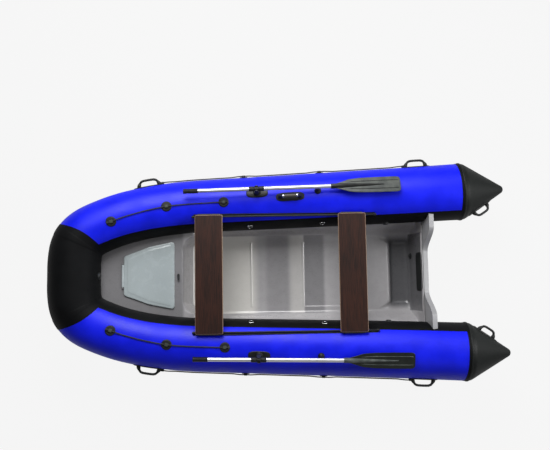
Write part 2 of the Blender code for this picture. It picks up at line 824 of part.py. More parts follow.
def hull_section(run):
    """Half a hull section, keel to tray rim outside and back to the keel inside."""
    centre, ahead, outboard, up = axis_frame(run)
    radius = float(tube_radius(centre[0]))
    fan_start = run_at_x(HULL_FAN_START_X)
    bow_share = max(0.0, (run - fan_start) / (AXIS_RUN[-1] - fan_start))
    keel_x = min(centre[0], HULL_FAN_START_X) + bow_share * (STEM_X - HULL_FAN_START_X)
    keel = np.array([keel_x, 0, keel_height(keel_x)])
    pad = keel + (0, KEEL_PAD_HALF_WIDTH * (1 - bow_share**2), 0)
    drop = np.array([0, 0, -1.0])
    chine_outer = centre + drop * (radius + CHINE_DEPTH)
    chine_top = centre + drop * (radius + GAP)
    chine = centre - CHINE_INSET * outboard + drop * (radius + CHINE_DEPTH + TRAY_SINK)
    lift = np.array([0, 0, HULL_WALL])
    inner_radius = radius + TRAY_WALL - TRAY_SINK
    inner_reach = inner_radius * math.sin(math.radians(TRAY_INNER_END_ANGLE))
    chine_inner = centre - inner_reach * outboard
    chine_inner[2] = chine[2] + HULL_WALL

    def around(size, first, last, steps):
        """Points round the tube's inboard underside."""
        points = []
        for angle in np.radians(np.linspace(first, last, steps)):
            points.append(centre + size * (math.cos(angle) * up - math.sin(angle) * outboard))
        return points

    outer_tray = around(radius - TRAY_SINK, TRAY_OUTER_END_ANGLE, TRAY_RIM_ANGLE, 5)
    inner_tray = around(inner_radius, TRAY_RIM_ANGLE, TRAY_INNER_END_ANGLE, 4)
    bottom = [pad + share * (chine - pad) for share in (1 / 3, 2 / 3)]
    inside = [pad + lift + share * (chine_inner - pad - lift) for share in (2 / 3, 1 / 3)]
    outside = [keel, pad, *bottom, chine, chine_outer, chine_top, *outer_tray]
    return np.array([*outside, *inner_tray, chine_inner, *inside, pad + lift, keel + lift])


def hull_sections():
    """Sections of the hull from the transom to the stem."""
    stern = run_at_x(transom_front(AXIS_HEIGHT))
    fan_start = run_at_x(HULL_FAN_START_X)
    keel_start = run_at_x(KEEL_RISE_START_X)
    climb_start = run_at_x(SHEER_START_X)
    aft = np.linspace(stern, climb_start, 4)
    climb = np.linspace(climb_start, keel_start, 3)[1:]
    middle = np.linspace(keel_start, fan_start, 4)[1:]
    fore = np.linspace(fan_start, AXIS_RUN[-1], 9)[1:]
    return np.array([hull_section(run) for run in (*aft, *climb, *middle, *fore)])


def hull_shell(cutter, finish):
    """The GRP bottom: keel pad, V sections, chines and the tray bonded to the tubes."""
    sections = hull_sections()
    sections[0, :, 0] = [transom_front(height) + GAP for height in sections[0, :, 2]]
    sections[-1, :, 1] = 0.0
    rows = np.concatenate([sections, mirror(sections[-2::-1])])
    count, columns = rows.shape[:2]
    faces = grid_faces(count, columns)
    faces.append(tuple(range(columns)))
    faces.append(tuple(range((count - 1) * columns, count * columns)))
    hull = add_object("hull_shell", rows.reshape(-1, 3), faces, finish)
    return cut_with_collar(hull, cutter)


def inner_breadth(x, height):
    """Half breadth between the tubes at a station and height."""
    offsets = []
    for run in np.linspace(run_at_x(BREADTH_START_X), run_at_y(BOW_SEAM_Y), BREADTH_SAMPLES):
        centre, ahead, outboard, up = axis_frame(run)
        reach = math.sqrt(max(0.0, tube_radius(centre[0]) ** 2 - (height - centre[2]) ** 2))
        offsets.append(centre - reach * outboard)
    offsets = np.array(offsets)
    return float(np.interp(x, offsets[:, 0], offsets[:, 1]))


def locker_top(x):
    """Height of the locker's top, which climbs gently to the bow."""
    return LOCKER_HEIGHT + LOCKER_SLOPE * (x - LOCKER_END_X)


def liner_row(x, locker_share, well_share):
    """Half a row of the deck, centreline to inside the tube, for one station."""
    flange = FLANGE_HEIGHT + float(sheer(x)) - AXIS_HEIGHT
    edge = flange + locker_share * (locker_top(x) - flange)
    breadth = inner_breadth(x, edge)
    floor = FLOOR_HEIGHT - well_share * WELL_DEPTH
    foot = FLOOR_HEIGHT - well_share * WELL_DEPTH / 4
    half = (
        (0.0, floor),
        (WELL_HALF_WIDTH / 2, floor),
        (WELL_HALF_WIDTH, floor),
        (FLOOR_HALF_WIDTH, foot),
        (FLOOR_HALF_WIDTH + SIDE_FOOT, foot + SIDE_FOOT),
        (breadth - SIDE_EDGE, flange - SIDE_LIP),
        (breadth - SIDE_LIP, flange),
    )
    row = []
    for (y, z), share in zip(half, LOCKER_BREADTH_SHARES):
        row.append(
            (
                y + locker_share * (share * breadth - y),
                z + locker_share * (locker_top(x) - z),
            )
        )
    row.append((breadth + LINER_BITE, edge))
    return np.array(row)


def offset_grid(points, distance):
    """A grid of points moved along its normals, longer at bends so the wall stays even."""
    rows, columns = points.shape[:2]
    total = np.zeros_like(points)
    normals = np.cross(points[:-1, 1:] - points[1:, :-1], points[1:, 1:] - points[:-1, :-1])
    normals /= np.linalg.norm(normals, axis=2, keepdims=True)
    for row in (0, 1):
        for column in (0, 1):
            total[row : rows - 1 + row, column : columns - 1 + column] += normals
    total /= np.linalg.norm(total, axis=2, keepdims=True)
    stretch = np.ones((rows, columns))
    for row in (0, 1):
        for column in (0, 1):
            part = total[row : rows - 1 + row, column : columns - 1 + column]
            cosine = np.clip(np.sum(part * normals, axis=2), 0.6, 1)
            region = stretch[row : rows - 1 + row, column : columns - 1 + column]
            np.minimum(region, cosine, out=region)
    return points + distance * total / stretch[:, :, None]


def liner_rows():
    """Rows of the deck's upper surface from the bow to the lip of the transom."""
    rows = []
    for x in LOCKER_ROW_XS:
        half = liner_row(x, 1.0, 0.0)
        rows.append(np.column_stack([np.full(len(half), x), half]))
    for place, share in BULKHEAD_SHARES:
        x = LOCKER_END_X - place * BULKHEAD_RUN
        half = liner_row(x, share, 0.0)
        beyond = np.clip((half[:, 0] - WELL_HALF_WIDTH) / (FLOOR_HALF_WIDTH - WELL_HALF_WIDTH), 0, 1)
        rows.append(np.column_stack([x - BULKHEAD_CORNER * beyond**2, half]))
    for x in FLOOR_ROW_XS:
        half = liner_row(x, 0.0, 0.0)
        rows.append(np.column_stack([np.full(len(half), x), half]))
    for place, share in WELL_SHARES:
        x = WELL_START_X - place * WELL_RUN
        half = liner_row(x, 0.0, share)
        beyond = np.clip((half[:, 0] - WELL_HALF_WIDTH) / (FLOOR_HALF_WIDTH - WELL_HALF_WIDTH), 0, 1)
        forward = WELL_CORNER * beyond * (1 - place)
        rows.append(np.column_stack([x + forward, half]))
    half = liner_row(WELL_END_X, 0.0, 1.0)
    rows.append(np.column_stack([np.full(len(half), WELL_END_X), half]))
    lean = (GAP + LINER_WALL) / math.cos(math.radians(TRANSOM_RAKE))
    floor = FLOOR_HEIGHT - WELL_DEPTH
    for share in AFT_WALL_SHARES:
        height = floor + share * (TRANSOM_LOW - floor)
        climb = half.copy()
        climb[:, 1] = np.maximum(climb[:, 1], height)
        place = transom_front(height) + lean
        rows.append(np.column_stack([np.full(len(climb), place), climb]))
    return np.array(rows)


def deck_liner(cutter, finish):
    """The grey inner moulding: locker top, bulkhead, floor, sides, stern well and its aft wall."""
    half = liner_rows()
    full = np.concatenate([mirror(half[:, :0:-1]), half], axis=1)
    low = offset_grid(full, -LINER_WALL)
    lean = GAP / math.cos(math.radians(TRANSOM_RAKE))
    low[-1, :, 0] = [transom_front(height) + lean for height in low[-1, :, 2]]
    low[-1, :, 2] = full[-1, :, 2]
    liner = sheet("deck_liner", full, low, finish)
    return cut_with_collar(liner, cutter)


def transom_frame():
    """Frame of the transom's front face: X to port, Y up the rake, Z forward out of it."""
    rake = math.radians(TRANSOM_RAKE)
    across = (0, 1, 0)
    climb = (-math.sin(rake), 0, math.cos(rake))
    ahead = (math.cos(rake), 0, math.sin(rake))
    matrix = Matrix((across, climb, ahead)).transposed().to_4x4()
    matrix.translation = Vector((TRANSOM_BASE_X, 0, 0))
    return matrix


def climb_at(height):
    """Distance up the transom's rake at a height."""
    return height / math.cos(math.radians(TRANSOM_RAKE))


def transom_plate(name, half, low, high, finish):
    """A plate in the transom's plane from half an outline of places across and heights."""
    half = [(y, climb_at(z)) for y, z in half]
    other = [(-y, z) for y, z in reversed(half) if y > MERGE_DISTANCE]
    made = plate(name, half + other, high - low, finish)
    made.data.transform(transom_frame() @ Matrix.Translation((0, 0, low)))
    return made


def transom_dip(inset, drop):
    """The smooth edge from the transom's shoulder down to its low middle."""
    edge = []
    for share in np.linspace(0, 1, 7):
        y = TRANSOM_SHOULDER_Y + share * (TRANSOM_NOTCH_HALF_WIDTH - TRANSOM_SHOULDER_Y)
        z = TRANSOM_LOW + (TRANSOM_HIGH - TRANSOM_LOW) * (0.5 + 0.5 * math.cos(math.pi * share))
        edge.append((y + inset, z - drop))
    return [*edge, (0.0, TRANSOM_LOW - drop)]


def drain_hole(radius):
    """A cutter along the drain through the transom and the deck's aft wall."""
    place = (DRAIN_Y, climb_at(DRAIN_HEIGHT))
    frame = transom_frame()
    low = frame @ Vector((*place, -TRANSOM_THICKNESS - OVERRUN))
    high = frame @ Vector((*place, LINER_WALL + OVERRUN))
    return rod("drain_hole", low, high, radius, None)


def transom_skin(cutter, finish):
    """The GRP transom, hollow for its core, cut to the tubes and open at the drain."""
    section = hull_section(run_at_x(transom_front(AXIS_HEIGHT)))
    bottom = [tuple(point[1:]) for point in section[:HULL_OUTSIDE_POINTS]]
    tube_y = bottom[-1][0]
    inside = [(tube_y, AXIS_HEIGHT), (tube_y - TRANSOM_TUBE_BITE, TRANSOM_HIGH)]
    half = [*bottom, *inside, *transom_dip(0.0, 0.0)]
    skin = transom_plate("transom_skin", half, -TRANSOM_THICKNESS, 0.0, finish)
    low = (TRANSOM_BASE_X - 2 * TRANSOM_THICKNESS, -AXIS_HALF_WIDTH, -OVERRUN)
    high = (TRANSOM_BASE_X + OVERRUN, AXIS_HALF_WIDTH, 0.0)
    combine(skin, block("below", low, high, None), "DIFFERENCE")
    cut_with_collar(skin, cutter)
    pocket = core_plate("pocket", GAP, None)
    combine(skin, pocket, "DIFFERENCE")
    return combine(skin, drain_hole(DRAIN_BUSH_RADIUS + RUNNING_CLEARANCE), "DIFFERENCE")


def trim_to_transom(piece):
    """Cut a piece back to the gap from the transom's front face."""
    low = (-AXIS_HALF_WIDTH, -OVERRUN, -TRANSOM_THICKNESS)
    high = (AXIS_HALF_WIDTH, TRANSOM_HIGH, GAP)
    return combine(piece, block("behind", low, high, None, transom_frame()), "DIFFERENCE")


def core_plate(name, growth, finish):
    """The board inside the transom; growth makes the pocket that holds it."""
    width = TRANSOM_CORE_HALF_WIDTH + growth
    half = [
        (0.0, CORE_FOOT - growth),
        (CORE_FOOT_HALF_WIDTH, CORE_FOOT - growth),
        (width, CORE_SIDE_FOOT - growth),
        (width, TRANSOM_HIGH - CORE_INSET + growth),
        *transom_dip(CORE_INSET - growth, CORE_INSET - growth),
    ]
    low = TRANSOM_SKIN - TRANSOM_THICKNESS - growth
    return transom_plate(name, half, low, growth - TRANSOM_SKIN, finish)


def transom_core(finish):
    """The plywood board inside the transom, bored for the drain."""
    core = core_plate("transom_core", 0.0, finish)
    return combine(core, drain_hole(DRAIN_BUSH_RADIUS + RUNNING_CLEARANCE), "DIFFERENCE")


def motor_pad(name, low, finish):
    """A rubber pad on a face of the transom for the motor's clamps."""
    top = climb_at(TRANSOM_LOW) - MOTOR_PAD_TOP_DROP
    bottom = top - MOTOR_PAD_HEIGHT
    width = MOTOR_PAD_HALF_WIDTH
    corners = ((-width, bottom), (width, bottom), (width, top), (-width, top))
    outline = rounded_outline(corners, MOTOR_PAD_CORNER)
    frame = transom_frame() @ Matrix.Translation((0, 0, low))
    return plate(name, outline, MOTOR_PAD_THICKNESS, finish, frame)


def motor_pads(finish):
    """The pads inside the stern well and on the outer face."""
    motor_pad("motor_pad_inner", LINER_WALL + 2 * GAP, finish)
    motor_pad("motor_pad_outer", -TRANSOM_THICKNESS - GAP - MOTOR_PAD_THICKNESS, finish)


def drain_frame():
    """Frame of the drain on the deck's aft wall, Z forward along it."""
    height = climb_at(DRAIN_HEIGHT)
    return transom_frame() @ Matrix.Translation((DRAIN_Y, height, LINER_WALL + 2 * GAP))


def drain_bush(finish):
    """The flanged sleeve that lines the drain."""
    low = -TRANSOM_THICKNESS - LINER_WALL - 2 * GAP
    profile = (
        (DRAIN_BORE_RADIUS, low),
        (DRAIN_BUSH_RADIUS, low),
        (DRAIN_BUSH_RADIUS, 0.0),
        (DRAIN_FLANGE_RADIUS, 0.0),
        (DRAIN_FLANGE_RADIUS, DRAIN_FLANGE),
        (DRAIN_BORE_RADIUS, DRAIN_FLANGE),
    )
    return turned("drain_bush", profile, finish, drain_frame())


def drain_plug(finish):
    """The plug pushed into the drain's sleeve from inside the boat."""
    seat = DRAIN_FLANGE + GAP
    stem = DRAIN_BORE_RADIUS - RUNNING_CLEARANCE
    profile = (
        (0.0, seat - DRAIN_STEM_LENGTH),
        (stem, seat - DRAIN_STEM_LENGTH),
        (stem, seat),
        (DRAIN_CAP_RADIUS, seat),
        (DRAIN_CAP_RADIUS, seat + DRAIN_CAP_HEIGHT / 2),
        (DRAIN_CAP_RADIUS / 2, seat + DRAIN_CAP_HEIGHT / 2),
        (DRAIN_CAP_RADIUS / 2, seat + DRAIN_CAP_HEIGHT),
        (0.0, seat + DRAIN_CAP_HEIGHT),
    )
    return turned("drain_plug", profile, finish, drain_frame())


def hull_inside(x, y):
    """Height of the hull's inner bottom at a place, between its sections."""
    stations = []
    heights = []
    for section in hull_sections()[:FLAT_SECTIONS]:
        line = section[-1:-HULL_INSIDE_POINTS - 1:-1]
        stations.append(section[-1, 0])
        heights.append(np.interp(y, line[:, 1], line[:, 2]))
    return float(np.interp(x, stations, heights))


def floor_frame(finish):
    """Two stringers and two cross members between the hull and the floor, as one piece."""
    top = FLOOR_HEIGHT - LINER_WALL - GAP
    rest = FRAME_FIT
    frame = None
    for side in (1, -1):
        rings = []
        for x in np.linspace(FRAME_START_X, FRAME_END_X, 6):
            inner = FRAME_HALF_WIDTH - FRAME_WEB / 2
            outer = FRAME_HALF_WIDTH + FRAME_WEB / 2
            low = hull_inside(x, inner) + rest
            high = hull_inside(x, outer) + rest
            corners = ((x, inner, low), (x, outer, high), (x, outer, top), (x, inner, top))
            rings.append(np.array(corners) * (1, side, 1))
        web = loft("floor_frame", rings, finish)
        frame = web if frame is None else combine(frame, web, "UNION")
    for x in FRAME_CROSS_XS:
        half = [(0.0, HULL_WALL + 2 * rest)]
        for y in (KEEL_PAD_HALF_WIDTH, FRAME_HALF_WIDTH, FRAME_REACH):
            foot = max(hull_inside(x + end * FRAME_WEB / 2, y) for end in (-1, 1))
            half.append((y, foot + 2 * rest))
        half.append((FRAME_REACH, top))
        outline = half + [(-y, z) for y, z in reversed(half) if y > MERGE_DISTANCE]
        rings = [[(x + end * FRAME_WEB / 2, y, z) for y, z in outline] for end in (-1, 1)]
        frame = combine(frame, loft("cross", rings, finish), "UNION")
    return frame


def bent_rod(name, points, radii, side_axis, finish, sides=8):
    """A round bar of varying radius along points in the plane that side_axis is square to."""
    points = np.asarray(points, float)
    side_axis = np.asarray(side_axis, float)
    turns = np.linspace(0, 2 * math.pi, sides, endpoint=False)
    rings = []
    for point, ahead, radius in zip(points, np.gradient(points, axis=0), radii):
        other = np.cross(side_axis, ahead / np.linalg.norm(ahead))
        rings.append(point + radius * (np.outer(np.cos(turns), side_axis) + np.outer(np.sin(turns), other)))
    return loft(name, rings, finish)


def eye_frame():
    """Frame of the towing eye half way up the stem: X along the stem, Z out of it."""
    section = hull_section(AXIS_RUN[-1])
    keel = Vector((section[0, 0], 0, section[0, 2]))
    chine = Vector((section[CHINE_POINT, 0], 0, section[CHINE_POINT, 2]))
    ahead = (chine - keel).normalized()
    out = Vector((ahead.z, 0, -ahead.x))
    matrix = Matrix((ahead, out.cross(ahead), out)).transposed().to_4x4()
    matrix.translation = keel.lerp(chine, 0.5)
    return matrix


def bow_eye(hull, finish):
    """The towing eye at the stem, its two legs through the hull."""
    points = [(-EYE_HALF_SPAN, 0, -EYE_LEG), (-EYE_HALF_SPAN, 0, EYE_REACH - EYE_HALF_SPAN)]
    for angle in np.linspace(0, math.pi, 9)[1:-1]:
        across = -EYE_HALF_SPAN * math.cos(angle)
        points.append((across, 0, EYE_REACH - EYE_HALF_SPAN + EYE_HALF_SPAN * math.sin(angle)))
    points += [(EYE_HALF_SPAN, 0, EYE_REACH - EYE_HALF_SPAN), (EYE_HALF_SPAN, 0, -EYE_LEG)]
    eye = bent_rod("bow_eye", points, [EYE_ROD_RADIUS] * len(points), (0, 1, 0), finish)
    eye.data.transform(eye_frame())
    for end in (-1, 1):
        low = eye_frame() @ Vector((end * EYE_HALF_SPAN, 0, -EYE_LEG - OVERRUN / 2))
        high = eye_frame() @ Vector((end * EYE_HALF_SPAN, 0, OVERRUN))
        combine(hull, rod("hole", low, high, EYE_ROD_RADIUS + RUNNING_CLEARANCE, None), "DIFFERENCE")
    return eye


def deck_frame(x, lift=0.0):
    """Frame on the locker's sloping top at a station: X forward, Z out of it."""
    slope = math.atan(LOCKER_SLOPE)
    ahead = (math.cos(slope), 0, math.sin(slope))
    out = (-math.sin(slope), 0, math.cos(slope))
    matrix = Matrix((ahead, (0, 1, 0), out)).transposed().to_4x4()
    matrix.translation = Vector((x, 0, float(locker_top(x)))) + lift * Vector(out)
    return matrix


def lid_outline(inset, radius):
    """The lid's outline on the locker top, from its back edge, drawn in by an inset."""
    length = LID_FRONT_X - LID_BACK_X
    middle = (LID_BACK_HALF_WIDTH + LID_FRONT_HALF_WIDTH) / 2 + LID_BULGE
    corners = (
        (inset, inset - LID_BACK_HALF_WIDTH),
        (length / 2, inset - middle),
        (length - inset, inset - LID_FRONT_HALF_WIDTH),
        (length - inset, LID_FRONT_HALF_WIDTH - inset),
        (length / 2, middle - inset),
        (inset, LID_BACK_HALF_WIDTH - inset),
    )
    return rounded_outline(corners, radius)


def hinge_frame():
    """Frame of the lid's hinge line: X forward, Y along the pin to port."""
    return deck_frame(LID_FRONT_X + HINGE_SETBACK, HINGE_LIFT)


def across_rod(name, frame, reach, radius, finish):
    """A round bar along a frame's Y axis."""
    return rod(name, frame @ Vector((0, -reach, 0)), frame @ Vector((0, reach, 0)), radius, finish)


def locker_lid(finish):
    """The locker's lid: a moulded panel, open underneath, with its hinge barrel."""
    frame = deck_frame(LID_BACK_X, GAP)
    lid = plate("locker_lid", lid_outline(0.0, LID_CORNER), LID_THICKNESS, finish, frame)
    hollow = deck_frame(LID_BACK_X, -OVERRUN)
    outline = lid_outline(LID_RIM, LID_CORNER / 2)
    combine(lid, plate("hollow", outline, OVERRUN + LID_HOLLOW, None, hollow), "DIFFERENCE")
    hinge = hinge_frame()
    barrel = across_rod("barrel", hinge, HINGE_HALF_WIDTH, HINGE_BARREL_RADIUS, finish)
    low = (-2 * HINGE_SETBACK, -HINGE_HALF_WIDTH, -HINGE_WEB / 2)
    web = block("web", low, (0, HINGE_HALF_WIDTH, HINGE_WEB / 2), finish, hinge)
    combine(lid, web, "UNION")
    combine(lid, barrel, "UNION")
    bore = across_rod("bore", hinge, HINGE_HALF_WIDTH + OVERRUN, HINGE_PIN_RADIUS + GAP, None)
    return combine(lid, bore, "DIFFERENCE")


def lid_hinge_pin(finish):
    """The steel pin through the lid's barrel and the deck's ears."""
    reach = HINGE_HALF_WIDTH + HINGE_EAR_WIDTH + RUNNING_CLEARANCE
    return across_rod("lid_hinge_pin", hinge_frame(), reach, HINGE_PIN_RADIUS, finish)


def hinge_ears(liner, finish):
    """Two rounded ears on the deck that carry the hinge pin."""
    hinge = hinge_frame()
    radius = HINGE_BARREL_RADIUS - HINGE_EAR_RELIEF
    for side in (1, -1):
        outline = [(-radius, -HINGE_LIFT - LINER_WALL / 2), (radius, -HINGE_LIFT - LINER_WALL / 2)]
        for angle in np.linspace(0, math.pi, 7):
            outline.append((radius * math.cos(angle), radius * math.sin(angle)))
        near = side * (HINGE_HALF_WIDTH + RUNNING_CLEARANCE)
        far = near + side * HINGE_EAR_WIDTH
        turn = Matrix(((1, 0, 0, 0), (0, 0, 1, min(near, far)), (0, 1, 0, 0), (0, 0, 0, 1)))
        ear = plate("ear", outline, HINGE_EAR_WIDTH, finish, hinge @ turn)
        combine(liner, ear, "UNION")
    reach = HINGE_HALF_WIDTH + HINGE_EAR_WIDTH + OVERRUN
    bore = across_rod("bore", hinge, reach, HINGE_PIN_RADIUS + GAP, None)
    combine(liner, bore, "DIFFERENCE")


def locker_opening(liner):
    """The opening under the lid and the hole for the latch."""
    frame = deck_frame(LID_BACK_X, -OVERRUN)
    outline = lid_outline(LID_OVERLAP, LID_CORNER / 2)
    combine(liner, plate("opening", outline, 2 * OVERRUN, None, frame), "DIFFERENCE")
    latch = deck_frame(LATCH_X)
    low = latch @ Vector((0, 0, -OVERRUN))
    high = latch @ Vector((0, 0, OVERRUN))
    combine(liner, rod("hole", low, high, LATCH_STEM_RADIUS + RUNNING_CLEARANCE, None), "DIFFERENCE")


def lid_latch(finish):
    """The turn button behind the lid: a stem through the deck and a bar that reaches over the lid."""
    frame = deck_frame(LATCH_X)
    under = GAP + LID_THICKNESS + GAP
    profile = (
        (0.0, -LATCH_STEM_LENGTH),
        (LATCH_STEM_RADIUS, -LATCH_STEM_LENGTH),
        (LATCH_STEM_RADIUS, GAP),
        (LATCH_WIDTH / 2, GAP),
        (LATCH_WIDTH / 2, under + LATCH_THICKNESS / 2),
        (0.0, under + LATCH_THICKNESS / 2),
    )
    latch = turned("lid_latch", profile, finish, frame)
    middle = (LATCH_REACH - LATCH_TAIL) / 2
    outline = stadium(LATCH_REACH + LATCH_TAIL, LATCH_WIDTH) + (middle, 0)
    turn = Matrix.Rotation(math.pi / 2, 4, "Z") @ Matrix.Translation((0, 0, under))
    return combine(latch, plate("bar", outline, LATCH_THICKNESS, finish, frame @ turn), "UNION")


def valve(name, frame, cutter, chamber, finish):
    """An air valve: a flange on the skin, a cap, and a body through a hole in the chamber's wall."""
    profile = (
        (0.0, -PAD_SINK),
        (VALVE_FLANGE_RADIUS, -PAD_SINK),
        (VALVE_FLANGE_RADIUS, VALVE_FLANGE_THICKNESS),
        (VALVE_CAP_RADIUS, VALVE_FLANGE_THICKNESS + GAP),
        (VALVE_CAP_RADIUS, VALVE_CAP_HEIGHT),
        (0.0, VALVE_CAP_HEIGHT),
    )
    made = cut_with_collar(turned(name, profile, finish, frame), cutter)
    low = frame @ Vector((0, 0, -VALVE_STEM_LENGTH))
    high = frame @ Vector((0, 0, VALVE_FLANGE_THICKNESS))
    combine(made, rod("stem", low, high, VALVE_STEM_RADIUS, finish), "UNION")
    above = frame @ Vector((0, 0, OVERRUN))
    hole = rod("hole", low, above, VALVE_STEM_RADIUS + COLLAR_CLEARANCE, None)
    combine(chamber, hole, "DIFFERENCE")
    return made


def seat_rail(name, side, cutter, finish):
    """One straight rail on a side tube: a foot cut to the skin, a neck and a round bead."""
    lean = math.radians(RAIL_TILT)
    normal = np.array([-math.sin(lean), math.cos(lean)])
    across = np.array([math.cos(lean), math.sin(lean)])
    foot = RAIL_FLANGE_WIDTH / 2
    neck = RAIL_NECK_WIDTH / 2
    bead = [
        (RAIL_BEAD_RADIUS * math.sin(angle), RAIL_BEAD_LIFT - RAIL_BEAD_RADIUS * math.cos(angle))
        for angle in np.linspace(RAIL_NECK_ANGLE, 2 * math.pi - RAIL_NECK_ANGLE, 11)
    ]
    section = [
        (-neck, RAIL_FLANGE_THICKNESS),
        (-foot, RAIL_FLANGE_THICKNESS),
        (-foot, -RAIL_SKIRT),
        (foot, -RAIL_SKIRT),
        (foot, RAIL_FLANGE_THICKNESS),
        (neck, RAIL_FLANGE_THICKNESS),
        *bead,
    ]
    rings = []
    for x in (RAIL_FRONT_X, RAIL_BACK_X):
        base = np.array([RAIL_Y, skin_height(x, RAIL_Y)])
        ring = [(x, *(base + a * across + b * normal)) for a, b in section]
        rings.append(np.array(ring) * (1, side, 1))
    return cut_with_collar(loft(name, rings, finish), cutter)


def rail_frame(x, side=1):
    """Frame on the rail's bead at a station, X forward along the rail and Z square to it."""
    ends = []
    lean = math.radians(RAIL_TILT)
    for place in (RAIL_BACK_X, RAIL_FRONT_X):
        base = skin_height(place, RAIL_Y) + RAIL_BEAD_LIFT * math.cos(lean)
        ends.append(Vector((place, side * (RAIL_Y - RAIL_BEAD_LIFT * math.sin(lean)), base)))
    ahead = (ends[1] - ends[0]).normalized()
    out = Vector((-ahead.z, 0, ahead.x))
    matrix = Matrix((ahead, (0, 1, 0), out)).transposed().to_4x4()
    share = (x - RAIL_BACK_X) / (RAIL_FRONT_X - RAIL_BACK_X)
    matrix.translation = ends[0].lerp(ends[1], share)
    return matrix


def seat_shoe(name, x, side, finish):
    """A moulded shoe that grips the rail's bead and carries one end of a seat board."""
    lean = math.radians(RAIL_TILT)
    normal = np.array([-math.sin(lean), math.cos(lean)])
    across = np.array([math.cos(lean), math.sin(lean)])
    foot = RAIL_FLANGE_THICKNESS + SHOE_FOOT_GAP - RAIL_BEAD_LIFT
    corners = [
        SHOE_HALF_WIDTH * across + foot * normal,
        (SHOE_HALF_WIDTH + SHOE_FLARE, SHOE_TOP_LIFT),
        (-SHOE_HALF_WIDTH - SHOE_FLARE, SHOE_TOP_LIFT),
        -SHOE_HALF_WIDTH * across + foot * normal,
    ]
    frame = rail_frame(x, side)
    ends = (-SHOE_LENGTH / 2, SHOE_LENGTH / 2)
    made = loft(name, [[(end, side * y, z) for y, z in corners] for end in ends], finish)
    made.data.transform(frame)
    reach = SHOE_LENGTH / 2 + OVERRUN
    bore = rod("bore", (-reach, 0, 0), (reach, 0, 0), RAIL_BEAD_RADIUS + RUNNING_CLEARANCE, None, 24)
    half = RAIL_NECK_WIDTH / 2 + RUNNING_CLEARANCE
    drop = 3 * foot * normal
    slot = [-half * across, half * across, half * across + drop, drop - half * across]
    slot = loft("slot", [[(end, side * y, z) for y, z in slot] for end in (-reach, reach)], None)
    combine(bore, slot, "UNION")
    bore.data.transform(frame)
    return combine(made, bore, "DIFFERENCE")


def seat_board(name, x, finish):
    """A plywood bench across the boat on its two shoes."""
    frame = rail_frame(x)
    frame.translation.y = 0.0
    half_x = SEAT_WIDTH / 2
    half_y = SEAT_LENGTH / 2
    corners = ((-half_x, -half_y), (half_x, -half_y), (half_x, half_y), (-half_x, half_y))
    lift = Matrix.Translation((0, 0, SHOE_TOP_LIFT + GAP))
    return plate(name, rounded_outline(corners, SEAT_CORNER), SEAT_THICKNESS, finish, frame @ lift)


def oar_direction(side):
    """Direction of a stowed oar from its blade to its grip."""
    toe = math.radians(OAR_TOE)
    pitch = math.radians(OAR_PITCH)
    ahead = (math.cos(pitch) * math.cos(toe), -side * math.cos(pitch) * math.sin(toe), math.sin(pitch))
    return Vector(ahead)


def oar_frame(side):
    """Frame of a stowed oar at its fork pin: X to the grip, Y along the fork pin."""
    base = tube_frame(OARLOCK_X, OARLOCK_TILT, side)
    out = base.to_3x3() @ Vector((0, 0, 1))
    ahead = oar_direction(side)
    across = out.cross(ahead).normalized()
    matrix = Matrix((ahead, across, ahead.cross(across))).transposed().to_4x4()
    matrix.translation = base.translation + FORK_PIN_HEIGHT * out
    return matrix


def fork_frame(side):
    """Frame of an oarlock's swivel: Z out along its pin from the skin, Y along its fork pin."""
    base = tube_frame(OARLOCK_X, OARLOCK_TILT, side)
    out = base.to_3x3() @ Vector((0, 0, 1))
    across = out.cross(oar_direction(side)).normalized()
    matrix = Matrix((across.cross(out), across, out)).transposed().to_4x4()
    matrix.translation = base.translation
    return matrix


def oarlock_base(name, side, cutter, finish):
    """A rubber pad on the tube with a bored boss for the swivel's pin."""
    rows = pad_rows(OARLOCK_PAD_LENGTH, OARLOCK_PAD_WIDTH, LONG_PAD_SHARES)
    pad = tube_pad(name, OARLOCK_X, OARLOCK_TILT, side, rows, PAD_THICKNESS, finish)
    depth = OARLOCK_BOSS_HEIGHT - SWIVEL_PIN_DEPTH - RUNNING_CLEARANCE
    profile = (
        (0.0, -PAD_SINK),
        (OARLOCK_BOSS_RADIUS + PAD_THICKNESS, -PAD_SINK),
        (OARLOCK_BOSS_RADIUS + PAD_THICKNESS, PAD_THICKNESS + PAD_SINK),
        (OARLOCK_BOSS_RADIUS, 2 * PAD_THICKNESS + PAD_SINK),
        (OARLOCK_BOSS_RADIUS, OARLOCK_BOSS_HEIGHT),
        (SWIVEL_PIN_RADIUS + RUNNING_CLEARANCE, OARLOCK_BOSS_HEIGHT),
        (SWIVEL_PIN_RADIUS + RUNNING_CLEARANCE, depth),
        (0.0, depth),
    )
    boss = turned("boss", profile, finish, fork_frame(side))
    return cut_with_collar(combine(pad, boss, "UNION"), cutter)


